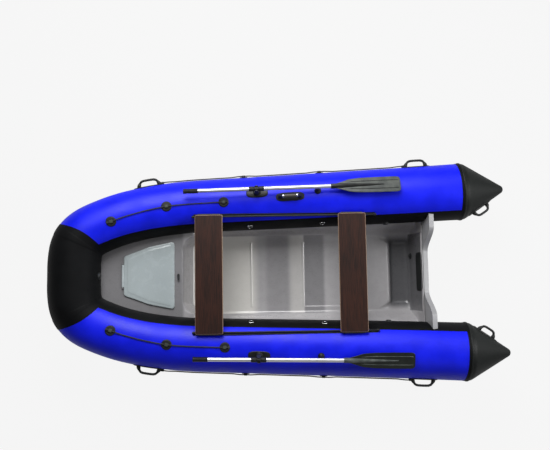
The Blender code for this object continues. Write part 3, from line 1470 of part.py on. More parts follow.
def oarlock_swivel(name, side, finish):
    """The turning fork: a pin, a disc, two cheeks and the cross pin that the oar hangs on."""
    seat = OARLOCK_BOSS_HEIGHT + GAP
    top = seat + SWIVEL_DISC_THICKNESS
    frame = fork_frame(side)
    profile = (
        (0.0, seat - SWIVEL_PIN_DEPTH),
        (SWIVEL_PIN_RADIUS, seat - SWIVEL_PIN_DEPTH),
        (SWIVEL_PIN_RADIUS, seat),
        (OARLOCK_BOSS_RADIUS, seat),
        (OARLOCK_BOSS_RADIUS, top),
        (0.0, top),
    )
    swivel = turned(name, profile, finish, frame)
    inner = OAR_SHAFT_RADIUS + FORK_SIDE_CLEARANCE
    outer = inner + FORK_CHEEK_THICKNESS
    half = FORK_CHEEK_WIDTH / 2
    for end in (1, -1):
        outline = [(-half, seat + SWIVEL_DISC_THICKNESS / 2), (half, seat + SWIVEL_DISC_THICKNESS / 2)]
        for angle in np.linspace(0, math.pi, 7):
            outline.append((half * math.cos(angle), FORK_PIN_HEIGHT + half * math.sin(angle)))
        start = inner if end > 0 else -outer
        turn = Matrix(((1, 0, 0, 0), (0, 0, 1, start), (0, 1, 0, 0), (0, 0, 0, 1)))
        combine(swivel, plate("cheek", outline, FORK_CHEEK_THICKNESS, finish, frame @ turn), "UNION")
    bar = frame @ Matrix.Translation((0, 0, FORK_PIN_HEIGHT))
    pin = across_rod("pin", bar, outer + FORK_PIN_RADIUS / 2, FORK_PIN_RADIUS, finish)
    return combine(swivel, pin, "UNION")


def oar_reach(side):
    """Distance from the fork pin to the end of the grip."""
    return OAR_GRIP_REACH_PORT if side > 0 else OAR_GRIP_REACH_STARBOARD


def oar_shaft(name, side, finish):
    """The tubular shaft, from inside the blade's socket to inside the grip."""
    grip_end = oar_reach(side) - GRIP_END_WALL - GAP
    blade_end = oar_reach(side) - OAR_LENGTH + BLADE_LENGTH - BLADE_SOCKET_LENGTH + GAP
    inner = OAR_SHAFT_RADIUS - OAR_SHAFT_WALL
    outer = OAR_SHAFT_RADIUS
    profile = ((inner, blade_end), (outer, blade_end), (outer, grip_end), (inner, grip_end))
    frame = oar_frame(side)
    along = Matrix.Rotation(math.pi / 2, 4, "Y")
    shaft = turned(name, profile, finish, frame @ along)
    reach = OAR_SHAFT_RADIUS + OVERRUN
    hole = across_rod("hole", frame, reach, FORK_PIN_RADIUS + RUNNING_CLEARANCE, None)
    return combine(shaft, hole, "DIFFERENCE")


def oar_grip(name, side, finish):
    """The rubber grip over the end of the shaft, with two shallow end rings."""
    end = oar_reach(side)
    start = end - GRIP_LENGTH
    bore = OAR_SHAFT_RADIUS + GAP
    profile = (
        (bore, start),
        (GRIP_RADIUS, start),
        (GRIP_RADIUS + GRIP_RING, start + 2 * GRIP_RING),
        (GRIP_RADIUS, start + 4 * GRIP_RING),
        (GRIP_RADIUS, end - 4 * GRIP_RING),
        (GRIP_RADIUS + GRIP_RING, end - 2 * GRIP_RING),
        (GRIP_RADIUS - GRIP_RING, end),
        (0.0, end),
        (0.0, end - GRIP_END_WALL),
        (bore, end - GRIP_END_WALL),
    )
    along = Matrix.Rotation(math.pi / 2, 4, "Y")
    return turned(name, profile, finish, oar_frame(side) @ along)


def oar_blade(name, side, finish):
    """The flat blade with its socket on the shaft and a tapering spine."""
    frame = oar_frame(side)
    tip = oar_reach(side) - OAR_LENGTH
    root = tip + BLADE_LENGTH
    outline = [
        (tip + along * BLADE_LENGTH, across * BLADE_HALF_WIDTH)
        for along, across in BLADE_OUTLINE_SHARES
    ]
    outline += [(x, -y) for x, y in reversed(outline)]
    sink = Matrix.Translation((0, 0, -BLADE_THICKNESS / 2))
    blade = plate(name, outline, BLADE_THICKNESS, finish, frame @ sink)
    spine_end = root - BLADE_SPINE_LENGTH
    profile = (
        (0.0, spine_end),
        (BLADE_SPINE_TIP_RADIUS, spine_end),
        (BLADE_SOCKET_RADIUS, root - BLADE_SOCKET_LENGTH),
        (BLADE_SOCKET_RADIUS, root),
        (0.0, root),
    )
    along = Matrix.Rotation(math.pi / 2, 4, "Y")
    combine(blade, turned("spine", profile, finish, frame @ along), "UNION")
    low = frame @ Vector((root - BLADE_SOCKET_LENGTH, 0, 0))
    high = frame @ Vector((root + OVERRUN, 0, 0))
    return combine(blade, rod("bore", low, high, OAR_SHAFT_RADIUS + GAP, None), "DIFFERENCE")


def oar_rest(name, side, cutter, finish):
    """A round post under the stowed shaft, with a lip on its inboard side only."""
    oar = oar_frame(side)
    out = fork_frame(side).to_3x3() @ Vector((0, 0, 1))
    across = fork_frame(side).to_3x3() @ Vector((0, side, 0))
    share = (OAR_REST_X - oar.translation.x) / oar_direction(side).x
    place = oar.translation + share * oar_direction(side)
    frame = Matrix((across.cross(out) * side, across * side, out)).transposed().to_4x4()
    frame.translation = place - OAR_REST_INSET * across
    top = OAR_REST_LIP - OAR_SHAFT_RADIUS
    low = -OARLOCK_BOSS_RADIUS - FORK_PIN_HEIGHT
    profile = (
        (0.0, low),
        (OAR_REST_RADIUS, low),
        (OAR_REST_RADIUS, OAR_REST_FOOT),
        (OAR_REST_POST_RADIUS, OAR_REST_FOOT + OAR_REST_RADIUS - OAR_REST_POST_RADIUS),
        (OAR_REST_POST_RADIUS, top),
        (0.0, top),
    )
    rest = turned(name, profile, finish, frame)
    inner = OAR_REST_INSET - OAR_SHAFT_RADIUS - FORK_SIDE_CLEARANCE
    reach = OAR_REST_RADIUS
    corners = ((-reach, side * inner), (reach, side * inner), (reach, side * reach), (-reach, side * reach))
    floor = Matrix.Translation((0, 0, -OAR_SHAFT_RADIUS - OAR_REST_CLEARANCE))
    combine(rest, plate("seat", corners, OVERRUN, None, frame @ floor), "DIFFERENCE")
    return cut_with_collar(rest, cutter)


def grab_handle(name, frame, half_span, finish):
    """The raised bar of a grab handle on two thick feet, in a frame on the skin."""
    points = [(share * half_span, 0, height * HANDLE_HEIGHT) for share, height in HANDLE_PATH_SHARES]
    radii = [HANDLE_FOOT_RADIUS, HANDLE_FOOT_RADIUS]
    radii += [HANDLE_BAR_RADIUS] * (len(points) - 4)
    radii += [HANDLE_FOOT_RADIUS, HANDLE_FOOT_RADIUS]
    bar = bent_rod(name, points, radii, (0, 1, 0), finish)
    bar.data.transform(frame)
    return bar


def tube_handle(name, x, tilt, side, cutter, finish):
    """A grab handle on a side tube with its long pad."""
    rows = pad_rows(HANDLE_PAD_LENGTH, HANDLE_PAD_WIDTH, LONG_PAD_SHARES)
    pad = tube_pad(name, x, tilt, side, rows, PAD_THICKNESS, finish)
    bar = grab_handle("bar", tube_frame(x, tilt, side), HANDLE_HALF_SPAN, finish)
    return cut_with_collar(combine(pad, bar, "UNION"), cutter)


def side_handle(name, x, side, eye_side, cutter, finish):
    """An outboard grab handle with an eye for the end of the side lifeline."""
    handle = tube_handle(name, x, SIDE_HANDLE_TILT, side, cutter, finish)
    offset = eye_side * (HANDLE_PAD_LENGTH - HOLDER_LUG_LENGTH) / 2
    return lug(handle, x + offset, SIDE_HANDLE_TILT, side, SIDE_ROPE_LIFT, finish)


def lug(target, x, tilt, side, rope_lift, finish):
    """A block on a pad with a hole along the tube for a rope."""
    frame = tube_frame(x, tilt, side)
    half_x = HOLDER_LUG_LENGTH / 2
    half_y = HOLDER_LUG_WIDTH / 2
    corners = ((-half_x, -half_y), (half_x, -half_y), (half_x, half_y), (-half_x, half_y))
    outline = rounded_outline(corners, HOLDER_LUG_CORNER, 2)
    low = frame @ Matrix.Translation((0, 0, PAD_THICKNESS / 2))
    combine(target, plate("lug", outline, HOLDER_LUG_HEIGHT - PAD_THICKNESS / 2, finish, low), "UNION")
    radius = ROPE_RADIUS + ROPE_HOLE_CLEARANCE
    reach = half_x + OVERRUN / 4
    near = frame @ Vector((-reach, 0, rope_lift))
    far = frame @ Vector((reach, 0, rope_lift))
    hole = rod("hole", near, far, radius, None, LUG_HOLE_SIDES)
    return combine(target, hole, "DIFFERENCE")


def cone_handle(name, side, cutter, finish):
    """A small grab handle on the inboard side of a stern cone."""
    centre, ahead, outboard, up = axis_frame(run_at_x(STERN_SEAM_X))
    radius = float(tube_radius(centre[0]))
    profile = cone_profile(radius, CONE_TIP_RADIUS, CONE_LENGTH)
    aft = [place for place, _ in profile]
    size = [value for _, value in profile]
    lean = math.radians(CONE_HANDLE_TILT)
    spoke = math.cos(lean) * up + math.sin(lean) * outboard
    near, far = CONE_HANDLE_BACK - OVERRUN, CONE_HANDLE_BACK + OVERRUN
    places = (near, CONE_HANDLE_BACK, far)
    points = [centre - ahead * place + spoke * np.interp(place, aft, size) for place in places]
    points = [Vector(point * (1, side, 1)) for point in points]
    along = (points[0] - points[2]).normalized()
    spoke = Vector(spoke * (1, side, 1))
    out = (spoke - spoke.dot(along) * along).normalized()
    frame = Matrix((along, out.cross(along), out)).transposed().to_4x4()
    frame.translation = points[1]
    sink = frame @ Matrix.Translation((0, 0, -CONE_HANDLE_SINK))
    outline = stadium(CONE_HANDLE_PAD_LENGTH, HANDLE_PAD_WIDTH)
    pad = plate(name, outline, CONE_HANDLE_SINK + PAD_THICKNESS, finish, sink)
    bar = grab_handle("bar", frame, CONE_HANDLE_HALF_SPAN, finish)
    return cut_with_collar(combine(pad, bar, "UNION"), cutter)


def rope_holder(name, x, tilt, side, cutter, finish):
    """A round pad on the bow with a lug for the lifeline."""
    rows = pad_rows(2 * HOLDER_RADIUS, 2 * HOLDER_RADIUS, ROUND_PAD_SHARES)
    pad = tube_pad(name, x, tilt, side, rows, PAD_THICKNESS, finish)
    return cut_with_collar(lug(pad, x, tilt, side, HOLDER_ROPE_LIFT, finish), cutter)


def rope(name, points, finish):
    """A round cord along points."""
    curve = bpy.data.curves.new(name, "CURVE")
    curve.dimensions = "3D"
    curve.bevel_depth = ROPE_RADIUS
    curve.bevel_resolution = 2
    curve.use_fill_caps = True
    curve.render_resolution_u = 0
    spline = curve.splines.new("POLY")
    spline.points.add(len(points) - 1)
    for knot, point in zip(spline.points, points):
        knot.co = (*map(float, point), 1.0)
    curve.materials.append(finish)
    made = bpy.data.objects.new(name, curve)
    bpy.context.scene.collection.objects.link(made)
    return made


def rope_along(first_x, last_x, anchors, rest_lift, lug_lift, side):
    """Points of a rope on a side tube: straight through each lug, lower between the lugs."""
    runs = [run_at_x(x) for x, _ in anchors]
    tilts = [tilt for _, tilt in anchors]
    start, end = run_at_x(first_x), run_at_x(last_x)
    count = int(abs(end - start) / ROPE_STEP) + 1
    stations = np.linspace(start, end, count)
    for run in runs:
        stations = stations[np.abs(stations - run) > HOLDER_LUG_LENGTH]
        stations = np.append(stations, (run - HOLDER_LUG_LENGTH, run, run + HOLDER_LUG_LENGTH))
    stations = np.sort(stations[(stations >= min(start, end)) & (stations <= max(start, end))])
    points = []
    for station in stations:
        away = min(abs(station - run) for run in runs) - HOLDER_LUG_LENGTH
        share = min(1.0, max(0.0, away / HOLDER_LUG_REACH))
        lift = lug_lift + (rest_lift - lug_lift) * share * share * (3 - 2 * share)
        tilt = float(np.interp(station, runs, tilts))
        points.append(tube_point(0.0, tilt, station - run_at_x(0.0), 0.0, lift, side))
    return points


def bow_lifeline(name, side, finish):
    """The lifeline over the bow, held by its three lugs."""
    anchors = sorted(zip(HOLDER_XS, HOLDER_TILTS))
    first = anchors[0][0] - ROPE_TAIL
    run = run_at_x(anchors[-1][0]) + ROPE_TAIL
    last = float(axis_point(run)[0])
    points = rope_along(first, last, anchors, ROPE_REST_LIFT, HOLDER_ROPE_LIFT, side)
    return rope(name, points, finish)


def side_lifeline(name, side, finish):
    """The lifeline along the outer edge, held by the eyes of the two outboard handles."""
    reach = (HANDLE_PAD_LENGTH - HOLDER_LUG_LENGTH) / 2
    first = SIDE_HANDLE_REAR_X + reach
    last = SIDE_HANDLE_FRONT_X - reach
    anchors = ((first, SIDE_HANDLE_TILT), (last, SIDE_HANDLE_TILT))
    tail = HOLDER_LUG_LENGTH / 2 + ROPE_RADIUS
    points = rope_along(first - tail, last + tail, anchors, ROPE_REST_LIFT, SIDE_ROPE_LIFT, side)
    return rope(name, points, finish)


def hang(piece, frame):
    """Put a moving piece's origin on its joint, where the piece stays."""
    piece.data.transform(frame.inverted())
    piece.matrix_world = frame


def main():
    """Build the whole boat."""
    for left in list(bpy.data.objects):
        bpy.data.objects.remove(left, do_unlink=True)
    look = finishes()
    cutter = collar_cutter(look["rubber"])
    port = side_tube("tube_port", 1, look["blue"])
    starboard = side_tube("tube_starboard", -1, look["blue"])
    bow = bow_tube(look["black"])
    valve("valve_port", tube_frame(VALVE_X, VALVE_TILT, 1), cutter, port, look["plastic"])
    valve("valve_starboard", tube_frame(VALVE_X, VALVE_TILT, -1), cutter, starboard, look["plastic"])
    valve("valve_bow", skin_frame(AXIS_RUN[-1], VALVE_TILT, 1), cutter, bow, look["plastic"])
    stern_cone("cone_port", 1, look["rubber"])
    stern_cone("cone_starboard", -1, look["rubber"])
    baffle("baffle_port", 1, look["black"])
    baffle("baffle_starboard", -1, look["black"])
    hull = hull_shell(cutter, look["gelcoat"])
    bow_eye(hull, look["steel"])
    liner = trim_to_transom(deck_liner(cutter, look["gelcoat"]))
    combine(liner, drain_hole(DRAIN_BUSH_RADIUS + RUNNING_CLEARANCE), "DIFFERENCE")
    hinge_ears(liner, look["gelcoat"])
    locker_opening(liner)
    hang(locker_lid(look["pale"]), hinge_frame())
    lid_hinge_pin(look["steel"])
    hang(lid_latch(look["plastic"]), deck_frame(LATCH_X))
    transom_skin(cutter, look["gelcoat"])
    transom_core(look["core"])
    motor_pads(look["rubber"])
    drain_bush(look["plastic"])
    hang(drain_plug(look["plastic"]), drain_frame())
    floor_frame(look["core"])
    for side, end in ((1, "port"), (-1, "starboard")):
        side_handle("side_handle_front_" + end, SIDE_HANDLE_FRONT_X, side, -1, cutter, look["rubber"])
        side_handle("side_handle_rear_" + end, SIDE_HANDLE_REAR_X, side, 1, cutter, look["rubber"])
        cone_handle("cone_handle_" + end, side, cutter, look["rubber"])
        for place, x, tilt in zip(("front", "middle", "rear"), HOLDER_XS, HOLDER_TILTS):
            rope_holder("rope_holder_" + place + "_" + end, x, tilt, side, cutter, look["rubber"])
        bow_lifeline("bow_lifeline_" + end, side, look["rope"])
        side_lifeline("side_lifeline_" + end, side, look["rope"])
        oarlock_base("oarlock_base_" + end, side, cutter, look["rubber"])
        hang(oarlock_swivel("oarlock_swivel_" + end, side, look["plastic"]), fork_frame(side))
        hang(oar_shaft("oar_shaft_" + end, side, look["aluminium"]), oar_frame(side))
        hang(oar_grip("oar_grip_" + end, side, look["rubber"]), oar_frame(side))
        hang(oar_blade("oar_blade_" + end, side, look["plastic"]), oar_frame(side))
        oar_rest("oar_rest_" + end, side, cutter, look["rubber"])
        seat_rail("seat_rail_" + end, side, cutter, look["rubber"])
        for place, x in (("front", SEAT_FRONT_X), ("rear", SEAT_REAR_X)):
            shoe = seat_shoe("seat_shoe_" + place + "_" + end, x, side, look["plastic"])
            hang(shoe, rail_frame(x, side))
    hang(seat_board("seat_board_front", SEAT_FRONT_X, look["plywood"]), rail_frame(SEAT_FRONT_X))
    hang(seat_board("seat_board_rear", SEAT_REAR_X, look["plywood"]), rail_frame(SEAT_REAR_X))
    tube_handle("carry_handle", CARRY_HANDLE_X, CARRY_HANDLE_TILT, -1, cutter, look["rubber"])


main()
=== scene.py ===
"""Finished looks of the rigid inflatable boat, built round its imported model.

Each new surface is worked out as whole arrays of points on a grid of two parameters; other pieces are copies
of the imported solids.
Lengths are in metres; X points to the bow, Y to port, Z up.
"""

import json
import math

import bmesh
import bpy
import numpy as np
from mathutils import Matrix, Vector

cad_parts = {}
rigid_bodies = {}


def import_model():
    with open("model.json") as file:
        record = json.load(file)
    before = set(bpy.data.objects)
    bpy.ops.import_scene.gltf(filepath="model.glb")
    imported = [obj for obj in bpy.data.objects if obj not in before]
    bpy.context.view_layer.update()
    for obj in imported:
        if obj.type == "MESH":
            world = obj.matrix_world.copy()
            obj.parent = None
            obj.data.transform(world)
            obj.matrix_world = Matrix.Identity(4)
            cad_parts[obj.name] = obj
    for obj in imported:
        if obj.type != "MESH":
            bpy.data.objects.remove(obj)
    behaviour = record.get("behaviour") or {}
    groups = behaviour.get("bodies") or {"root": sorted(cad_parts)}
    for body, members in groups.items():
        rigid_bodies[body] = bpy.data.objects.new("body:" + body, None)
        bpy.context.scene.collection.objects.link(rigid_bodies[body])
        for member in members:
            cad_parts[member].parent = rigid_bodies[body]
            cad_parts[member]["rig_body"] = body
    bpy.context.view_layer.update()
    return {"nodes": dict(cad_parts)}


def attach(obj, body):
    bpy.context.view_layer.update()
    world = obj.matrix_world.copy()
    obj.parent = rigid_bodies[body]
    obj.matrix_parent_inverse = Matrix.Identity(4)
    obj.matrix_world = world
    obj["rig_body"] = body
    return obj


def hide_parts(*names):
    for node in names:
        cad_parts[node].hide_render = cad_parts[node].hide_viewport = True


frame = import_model()


# Hull.
# The stiff V-shaped bottom, moulded in glass fibre with a polished grey gelcoat face. The tubes are
# bonded into the trays along its two upper edges. Two stringers stiffen it under the deck.
class Tone:
    """A socket in a finish's node tree; sums and products of tones add Math nodes."""

    def __init__(self, tree, socket=None):
        self.tree = tree
        self.socket = socket

    def node(self, kind, settings=None, sockets=None, output=0):
        """Adds a node of a kind, makes its settings, then fills its sockets with values or links."""
        made = self.tree.nodes.new("ShaderNode" + kind)
        for name, value in (settings or {}).items():
            setattr(made, name, value)
        for name, value in (sockets or {}).items():
            self.fill(made.inputs[name], value)
        return Tone(self.tree, made.outputs[output])

    def fill(self, socket, value):
        """Links a tone to a socket, or sets the socket to a plain value."""
        if isinstance(value, Tone):
            self.tree.links.new(value.socket, socket)
        else:
            socket.default_value = value

    def drive(self, **values):
        """Fills sockets of the finish's Principled shader; their names are written Base_Color."""
        shader = self.tree.nodes["Principled BSDF"]
        for name, value in values.items():
            self.fill(shader.inputs[name.replace("_", " ")], value)

    def relief(self, height, strength, distance):
        """Raises or sinks the finish's shading by a height."""
        heights = {"Strength": strength, "Distance": distance, "Height": height}
        self.drive(Normal=self.node("Bump", sockets=heights))

    def math(self, operation, first, second=0.0):
        return self.node("Math", {"operation": operation}, {0: first, 1: second})

    def __add__(self, other):
        return self.math("ADD", self, other)

    def __radd__(self, other):
        return self.math("ADD", other, self)

    def __sub__(self, other):
        return self.math("SUBTRACT", self, other)

    def __rsub__(self, other):
        return self.math("SUBTRACT", other, self)

    def __mul__(self, other):
        return self.math("MULTIPLY", self, other)

    def __rmul__(self, other):
        return self.math("MULTIPLY", other, self)

    def wave(self, pitch):
        """A cosine wave of 0 to 1 along this tone, one crest to each pitch."""
        return self.math("COSINE", self * (2 * math.pi / pitch)) * 0.5 + 0.5

    def step(self, low, high):
        """Runs smoothly from 0 to 1 while this tone goes from low to high."""
        ends = {"Value": self, "From Min": low, "From Max": high}
        return self.node("MapRange", {"interpolation_type": "SMOOTHSTEP"}, ends)

    def blend(self, first, second):
        """Mixes two colours by this tone."""
        return self.node("Mix", {"data_type": "RGBA"}, {0: self, 6: first, 7: second}, 2)

    def place(self, kind="Object"):
        """The place on the object, or on the piece's own laid-out surface with kind UV."""
        return self.node("TexCoord", output=kind)

    def parts(self, place):
        """The three numbers of a place."""
        return [self.node("SeparateXYZ", sockets={0: place}, output=axis) for axis in range(3)]

    def cloud(self, size, detail, stretch=(1.0, 1.0, 1.0)):
        """Soft random patches of a size on the object."""
        laid = self.node("Mapping", sockets={"Vector": self.place(), "Scale": stretch})
        return self.node("TexNoise", sockets={"Vector": laid, "Scale": 1 / size, "Detail": detail})


def rgb(red, green, blue):
    """A colour written as it shows on a screen, 0 to 255, in the linear light that shaders take."""
    shown = np.array((red, green, blue)) / 255
    linear = np.where(shown > 0.04045, ((shown + 0.055) / 1.055) ** 2.4, shown / 12.92)
    return (*map(float, linear), 1.0)


def shade(colour, factor, lift=0.0):
    """A colour made darker or lighter."""
    return (*(min(1.0, value * factor + lift) for value in colour[:3]), 1.0)


def finish(name, slot, **constants):
    """A new finish with the constants of its shader, and a tone in its tree; its slot argument is not used.
    """
    made = bpy.data.materials.new(name)
    made.use_nodes = True
    tone = Tone(made.node_tree)
    tone.drive(**constants)
    return made, tone


def gelcoat(name, slot, colour, roughness, paint_light_and_shade=None):
    """Polished gelcoat: the shade drifts in broad patches, fine scuffs and dust dull the shine. A last
    function, where given, lays painted shade and painted light over the clean colour."""
    made, tone = finish(name, slot, Coat_Roughness=0.12, Specular_IOR_Level=0.5)
    drift = tone.cloud(0.45, 3.0).step(0.3, 0.7)
    dust = tone.cloud(0.06, 5.0).step(0.45, 0.75)
    scuffs = tone.cloud(0.012, 4.0, (1.0, 6.0, 3.0))
    clean = (drift * 0.75 + dust * 0.25).blend(shade(colour, 0.94), shade(colour, 1.05))
    tone.drive(
        Base_Color=paint_light_and_shade(tone, clean) if paint_light_and_shade else clean,
        Roughness=scuffs * 0.22 + dust * 0.10 + (roughness - 0.12),
        Coat_Weight=0.45 - dust * 0.25,
    )
    tone.relief(tone.cloud(0.004, 2.0), 0.10, 0.0004)
    return made


def dress(node, paint):
    """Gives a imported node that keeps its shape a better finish."""
    for slot in frame["nodes"][node].material_slots:
        slot.material = paint


def set_crease(mesh, angle):
    """Smooth shading up to a crease angle in degrees."""
    mesh.shade_smooth()
    mesh.set_sharp_from_angle(angle=math.radians(angle))


def settled(name, mesh, paint, node="", body="boat"):
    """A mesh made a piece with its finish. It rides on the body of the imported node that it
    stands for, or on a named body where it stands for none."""
    mesh.materials.clear()
    mesh.materials.append(paint)
    made = bpy.data.objects.new(name, mesh)
    bpy.context.scene.collection.objects.link(made)
    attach(made, frame["nodes"][node]["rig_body"] if node else body)
    if node:
        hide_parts(node)
    return made


def eased(node, name, paint, edge, crease=32.0, flat=1.0):
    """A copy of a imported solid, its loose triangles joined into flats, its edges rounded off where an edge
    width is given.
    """
    mesh = frame["nodes"][node].data.copy()
    mesh.name = name
    edit = bmesh.new()
    edit.from_mesh(mesh)
    bmesh.ops.remove_doubles(edit, verts=edit.verts, dist=0.00002)
    bmesh.ops.dissolve_limit(edit, angle_limit=math.radians(flat), verts=edit.verts, edges=edit.edges)
    edit.to_mesh(mesh)
    edit.free()
    set_crease(mesh, crease)
    made = settled(name, mesh, paint, node)
    if edge:
        rounding = made.modifiers.new("edges", "BEVEL")
        rounding.width = edge
        rounding.segments = 2
        rounding.limit_method = "ANGLE"
        rounding.angle_limit = math.radians(crease)
        rounding.use_clamp_overlap = True
    return made


hull_grey = gelcoat("hull_gelcoat", "gelcoat", rgb(158, 158, 160), 0.34)
eased("hull_shell", "moulded_hull", hull_grey, 0.0, 24.0, 0.2)
dress("floor_frame", hull_grey)


# Side tubes.
# Two blown-up chambers of glued PVC cloth, blue on top. Each runs from the stern seam along the
# side, climbs to the bow and turns in to the bow seam. Fine puckers stand on the inside of the bend.
SIDES = ((1, "port"), (-1, "starboard"))
HALF_LENGTH = 1.750
LINE_HALF_WIDTH = 0.614
LINE_HEIGHT = 0.378
BOW_CLIMB = 0.140
CLIMB_START_X = 0.250
BEND_START_X = 0.550
STERN_RADIUS = 0.218
BOW_RADIUS = 0.196
STERN_SEAM_X = -1.400
BOW_SEAM_Y = 0.262
PLAN_SHARES = (
    ((-1.000, 1.018), (-0.800, 1.000), (-0.500, 0.963), (-0.030, 0.913), (0.250, 0.884))
    + ((0.417, 0.859), (0.546, 0.814), (0.637, 0.760), (0.700, 0.709), (0.762, 0.642))
    + ((0.820, 0.562), (0.857, 0.475), (0.879, 0.363), (0.888, 0.200), (0.889, 0.000))
)
BOW_X = PLAN_SHARES[-1][0] * HALF_LENGTH
TUBE_SIDES = 120


def unit(arrows):
    """Arrows brought to a length of one."""
    return arrows / np.linalg.norm(arrows, axis=-1, keepdims=True)


def ramp(value, low, high):
    """The share of the way from low to high that a value has gone, held between 0 and 1."""
    return np.clip((value - low) / (high - low), 0, 1)


def ease(value, low, high):
    """A ramp with level ends: three times the share squared, less twice the share cubed."""
    share = ramp(value, low, high)
    return share * share * (3 - 2 * share)


def run_along(path):
    """The run from a path's start to each of its points."""
    return np.concatenate([[0.0], np.cumsum(np.linalg.norm(np.diff(path, axis=0), axis=-1))])


def read_off(path, run, at):
    """The points of a path, whose own points are at the given runs, at other runs."""
    return np.stack([np.interp(at, run, path[:, axis]) for axis in range(path.shape[1])], -1)


def bow_rise(x):
    """How far the boat's side has climbed at a station: a parabola from the start of the climb."""
    return BOW_CLIMB * np.clip((x - CLIMB_START_X) / (BOW_X - CLIMB_START_X), 0, None) ** 2


def tube_line():
    """Points of the tubes' middle line on the port side: a cubic through each knot of the plan whose
    slope there is half the step between the knot's neighbours, lifted by the bow's rise."""
    plan = np.array(PLAN_SHARES) * (HALF_LENGTH, LINE_HALF_WIDTH)
    knots = np.vstack([2 * plan[0] - plan[1], plan, plan[-2] * (1, -1)])
    share = np.linspace(0, 1, 24, endpoint=False)[None, :, None]
    p0, p1, p2, p3 = (knots[first : first + len(plan) - 1, None, :] for first in range(4))
    bend = (2 * p0 - 5 * p1 + 4 * p2 - p3) * share**2 + (3 * p1 - p0 - 3 * p2 + p3) * share**3
    flat = np.vstack([(0.5 * (2 * p1 + (p2 - p0) * share + bend)).reshape(-1, 2), plan[-1]])
    return np.column_stack([flat, LINE_HEIGHT + bow_rise(flat[:, 0])])


LINE = tube_line()
LINE_RUN = run_along(LINE)


def line_point(run):
    """The middle line's points at runs from its stern end, port first and on round to starboard."""
    past = run > LINE_RUN[-1]
    found = read_off(LINE, LINE_RUN, np.where(past, 2 * LINE_RUN[-1] - run, run))
    found[..., 1] *= np.where(past, -1.0, 1.0)
    return found


def line_ahead(run):
    """The middle line's direction at runs, from the step between two points close to each."""
    return unit(line_point(run + 0.004) - line_point(run - 0.004))


def skin(run, turn, lift=0.0, side=1):
    """Points on the tubes' skin: from the middle line at a run, out by radius and lift at a turn from
    the top, outboard positive. The radius tapers evenly from the stern seam to the bow."""
    run, turn, lift = np.broadcast_arrays(*(np.asarray(value, float) for value in (run, turn, lift)))
    centre = line_point(run)
    ahead = line_ahead(run)
    outboard = unit(np.stack([-ahead[..., 1], ahead[..., 0], np.zeros(run.shape)], -1))
    up = np.cross(ahead, outboard)
    taper = ramp(centre[..., 0], STERN_SEAM_X, BOW_X)
    reach = (STERN_RADIUS + (BOW_RADIUS - STERN_RADIUS) * taper + lift)[..., None]
    spoke = np.cos(turn)[..., None] * up + np.sin(turn)[..., None] * outboard
    return (centre + reach * spoke) * (1, side, 1)


def run_at(x):
    """The run along the port side at a station."""
    return float(np.interp(x, LINE[:, 0], LINE_RUN))


STERN_RUN = run_at(STERN_SEAM_X)
SEAM_RUN = float(np.interp(-BOW_SEAM_Y, -LINE[:, 1], LINE_RUN))


def woven(points, rows_meet=False, columns_meet=False):
    """One part of a mesh from points on a grid: a quad joins each point to the next along the rows
    and across the columns. The laid-out surface gives each corner its run and reach in metres."""
    points = np.asarray(points, float)
    rows, columns = points.shape[:2]
    index = np.arange(rows * columns).reshape(rows, columns)
    index = np.vstack([index, index[:1]]) if rows_meet else index
    index = np.hstack([index, index[:, :1]]) if columns_meet else index
    laid = points.reshape(-1, 3)[index]
    runs = np.linalg.norm(np.diff(laid, axis=0), axis=-1).mean(1)
    reaches = np.linalg.norm(np.diff(laid, axis=1), axis=-1).max(0)
    runs, reaches = (np.concatenate([[0.0], np.cumsum(steps)]) for steps in (runs, reaches))
    flat = np.stack(np.meshgrid(runs, reaches, indexing="ij"), -1)
    around = ((0, 0), (1, 0), (1, 1), (0, 1))
    ends = (index.shape[0] - 1, index.shape[1] - 1)
    quads = np.stack([index[a : a + ends[0], b : b + ends[1]] for a, b in around], -1)
    corners = np.stack([flat[a : a + ends[0], b : b + ends[1]] for a, b in around], 2)
    return points.reshape(-1, 3), quads.reshape(-1, 4), corners.reshape(-1, 2)


def joined(name, parts, crease=40.0):
    """Joins parts into one mesh, closes seams and poles, and turns its faces outwards."""
    starts = np.cumsum([0] + [len(part[0]) for part in parts[:-1]])
    points = np.concatenate([part[0] for part in parts])
    quads = np.concatenate([part[1] + start for part, start in zip(parts, starts)])
    corners = np.concatenate([part[2] for part in parts])
    mesh = bpy.data.meshes.new(name)
    mesh.vertices.add(len(points))
    mesh.vertices.foreach_set("co", points.ravel())
    mesh.loops.add(quads.size)
    mesh.loops.foreach_set("vertex_index", quads.ravel())
    mesh.polygons.add(len(quads))
    mesh.polygons.foreach_set("loop_start", np.arange(0, quads.size, 4))
    mesh.update(calc_edges=True)
    mesh.uv_layers.new(name="UVMap").data.foreach_set("uv", corners.ravel())
    edit = bmesh.new()
    edit.from_mesh(mesh)
    bmesh.ops.remove_doubles(edit, verts=edit.verts, dist=0.000002)
    bmesh.ops.recalc_face_normals(edit, faces=edit.faces)
    edit.to_mesh(mesh)
    edit.free()
    set_crease(mesh, crease)
    return mesh


def piece(name, parts, paint, node="", body="boat", crease=40.0):
    """A new piece of the boat from its parts."""
    return settled(name, joined(name, parts, crease), paint, node, body)


def capped(rings):
    """Closes both ends of a row of rings with a point in the middle of each end ring."""
    ends = [np.repeat(ring.mean(0)[None], len(ring), 0)[None] for ring in (rings[0], rings[-1])]
    return np.concatenate([ends[0], rings, ends[1]])


def around(count):
    """Turns all the way round, in even steps."""
    return np.linspace(0, 2 * math.pi, count, endpoint=False)


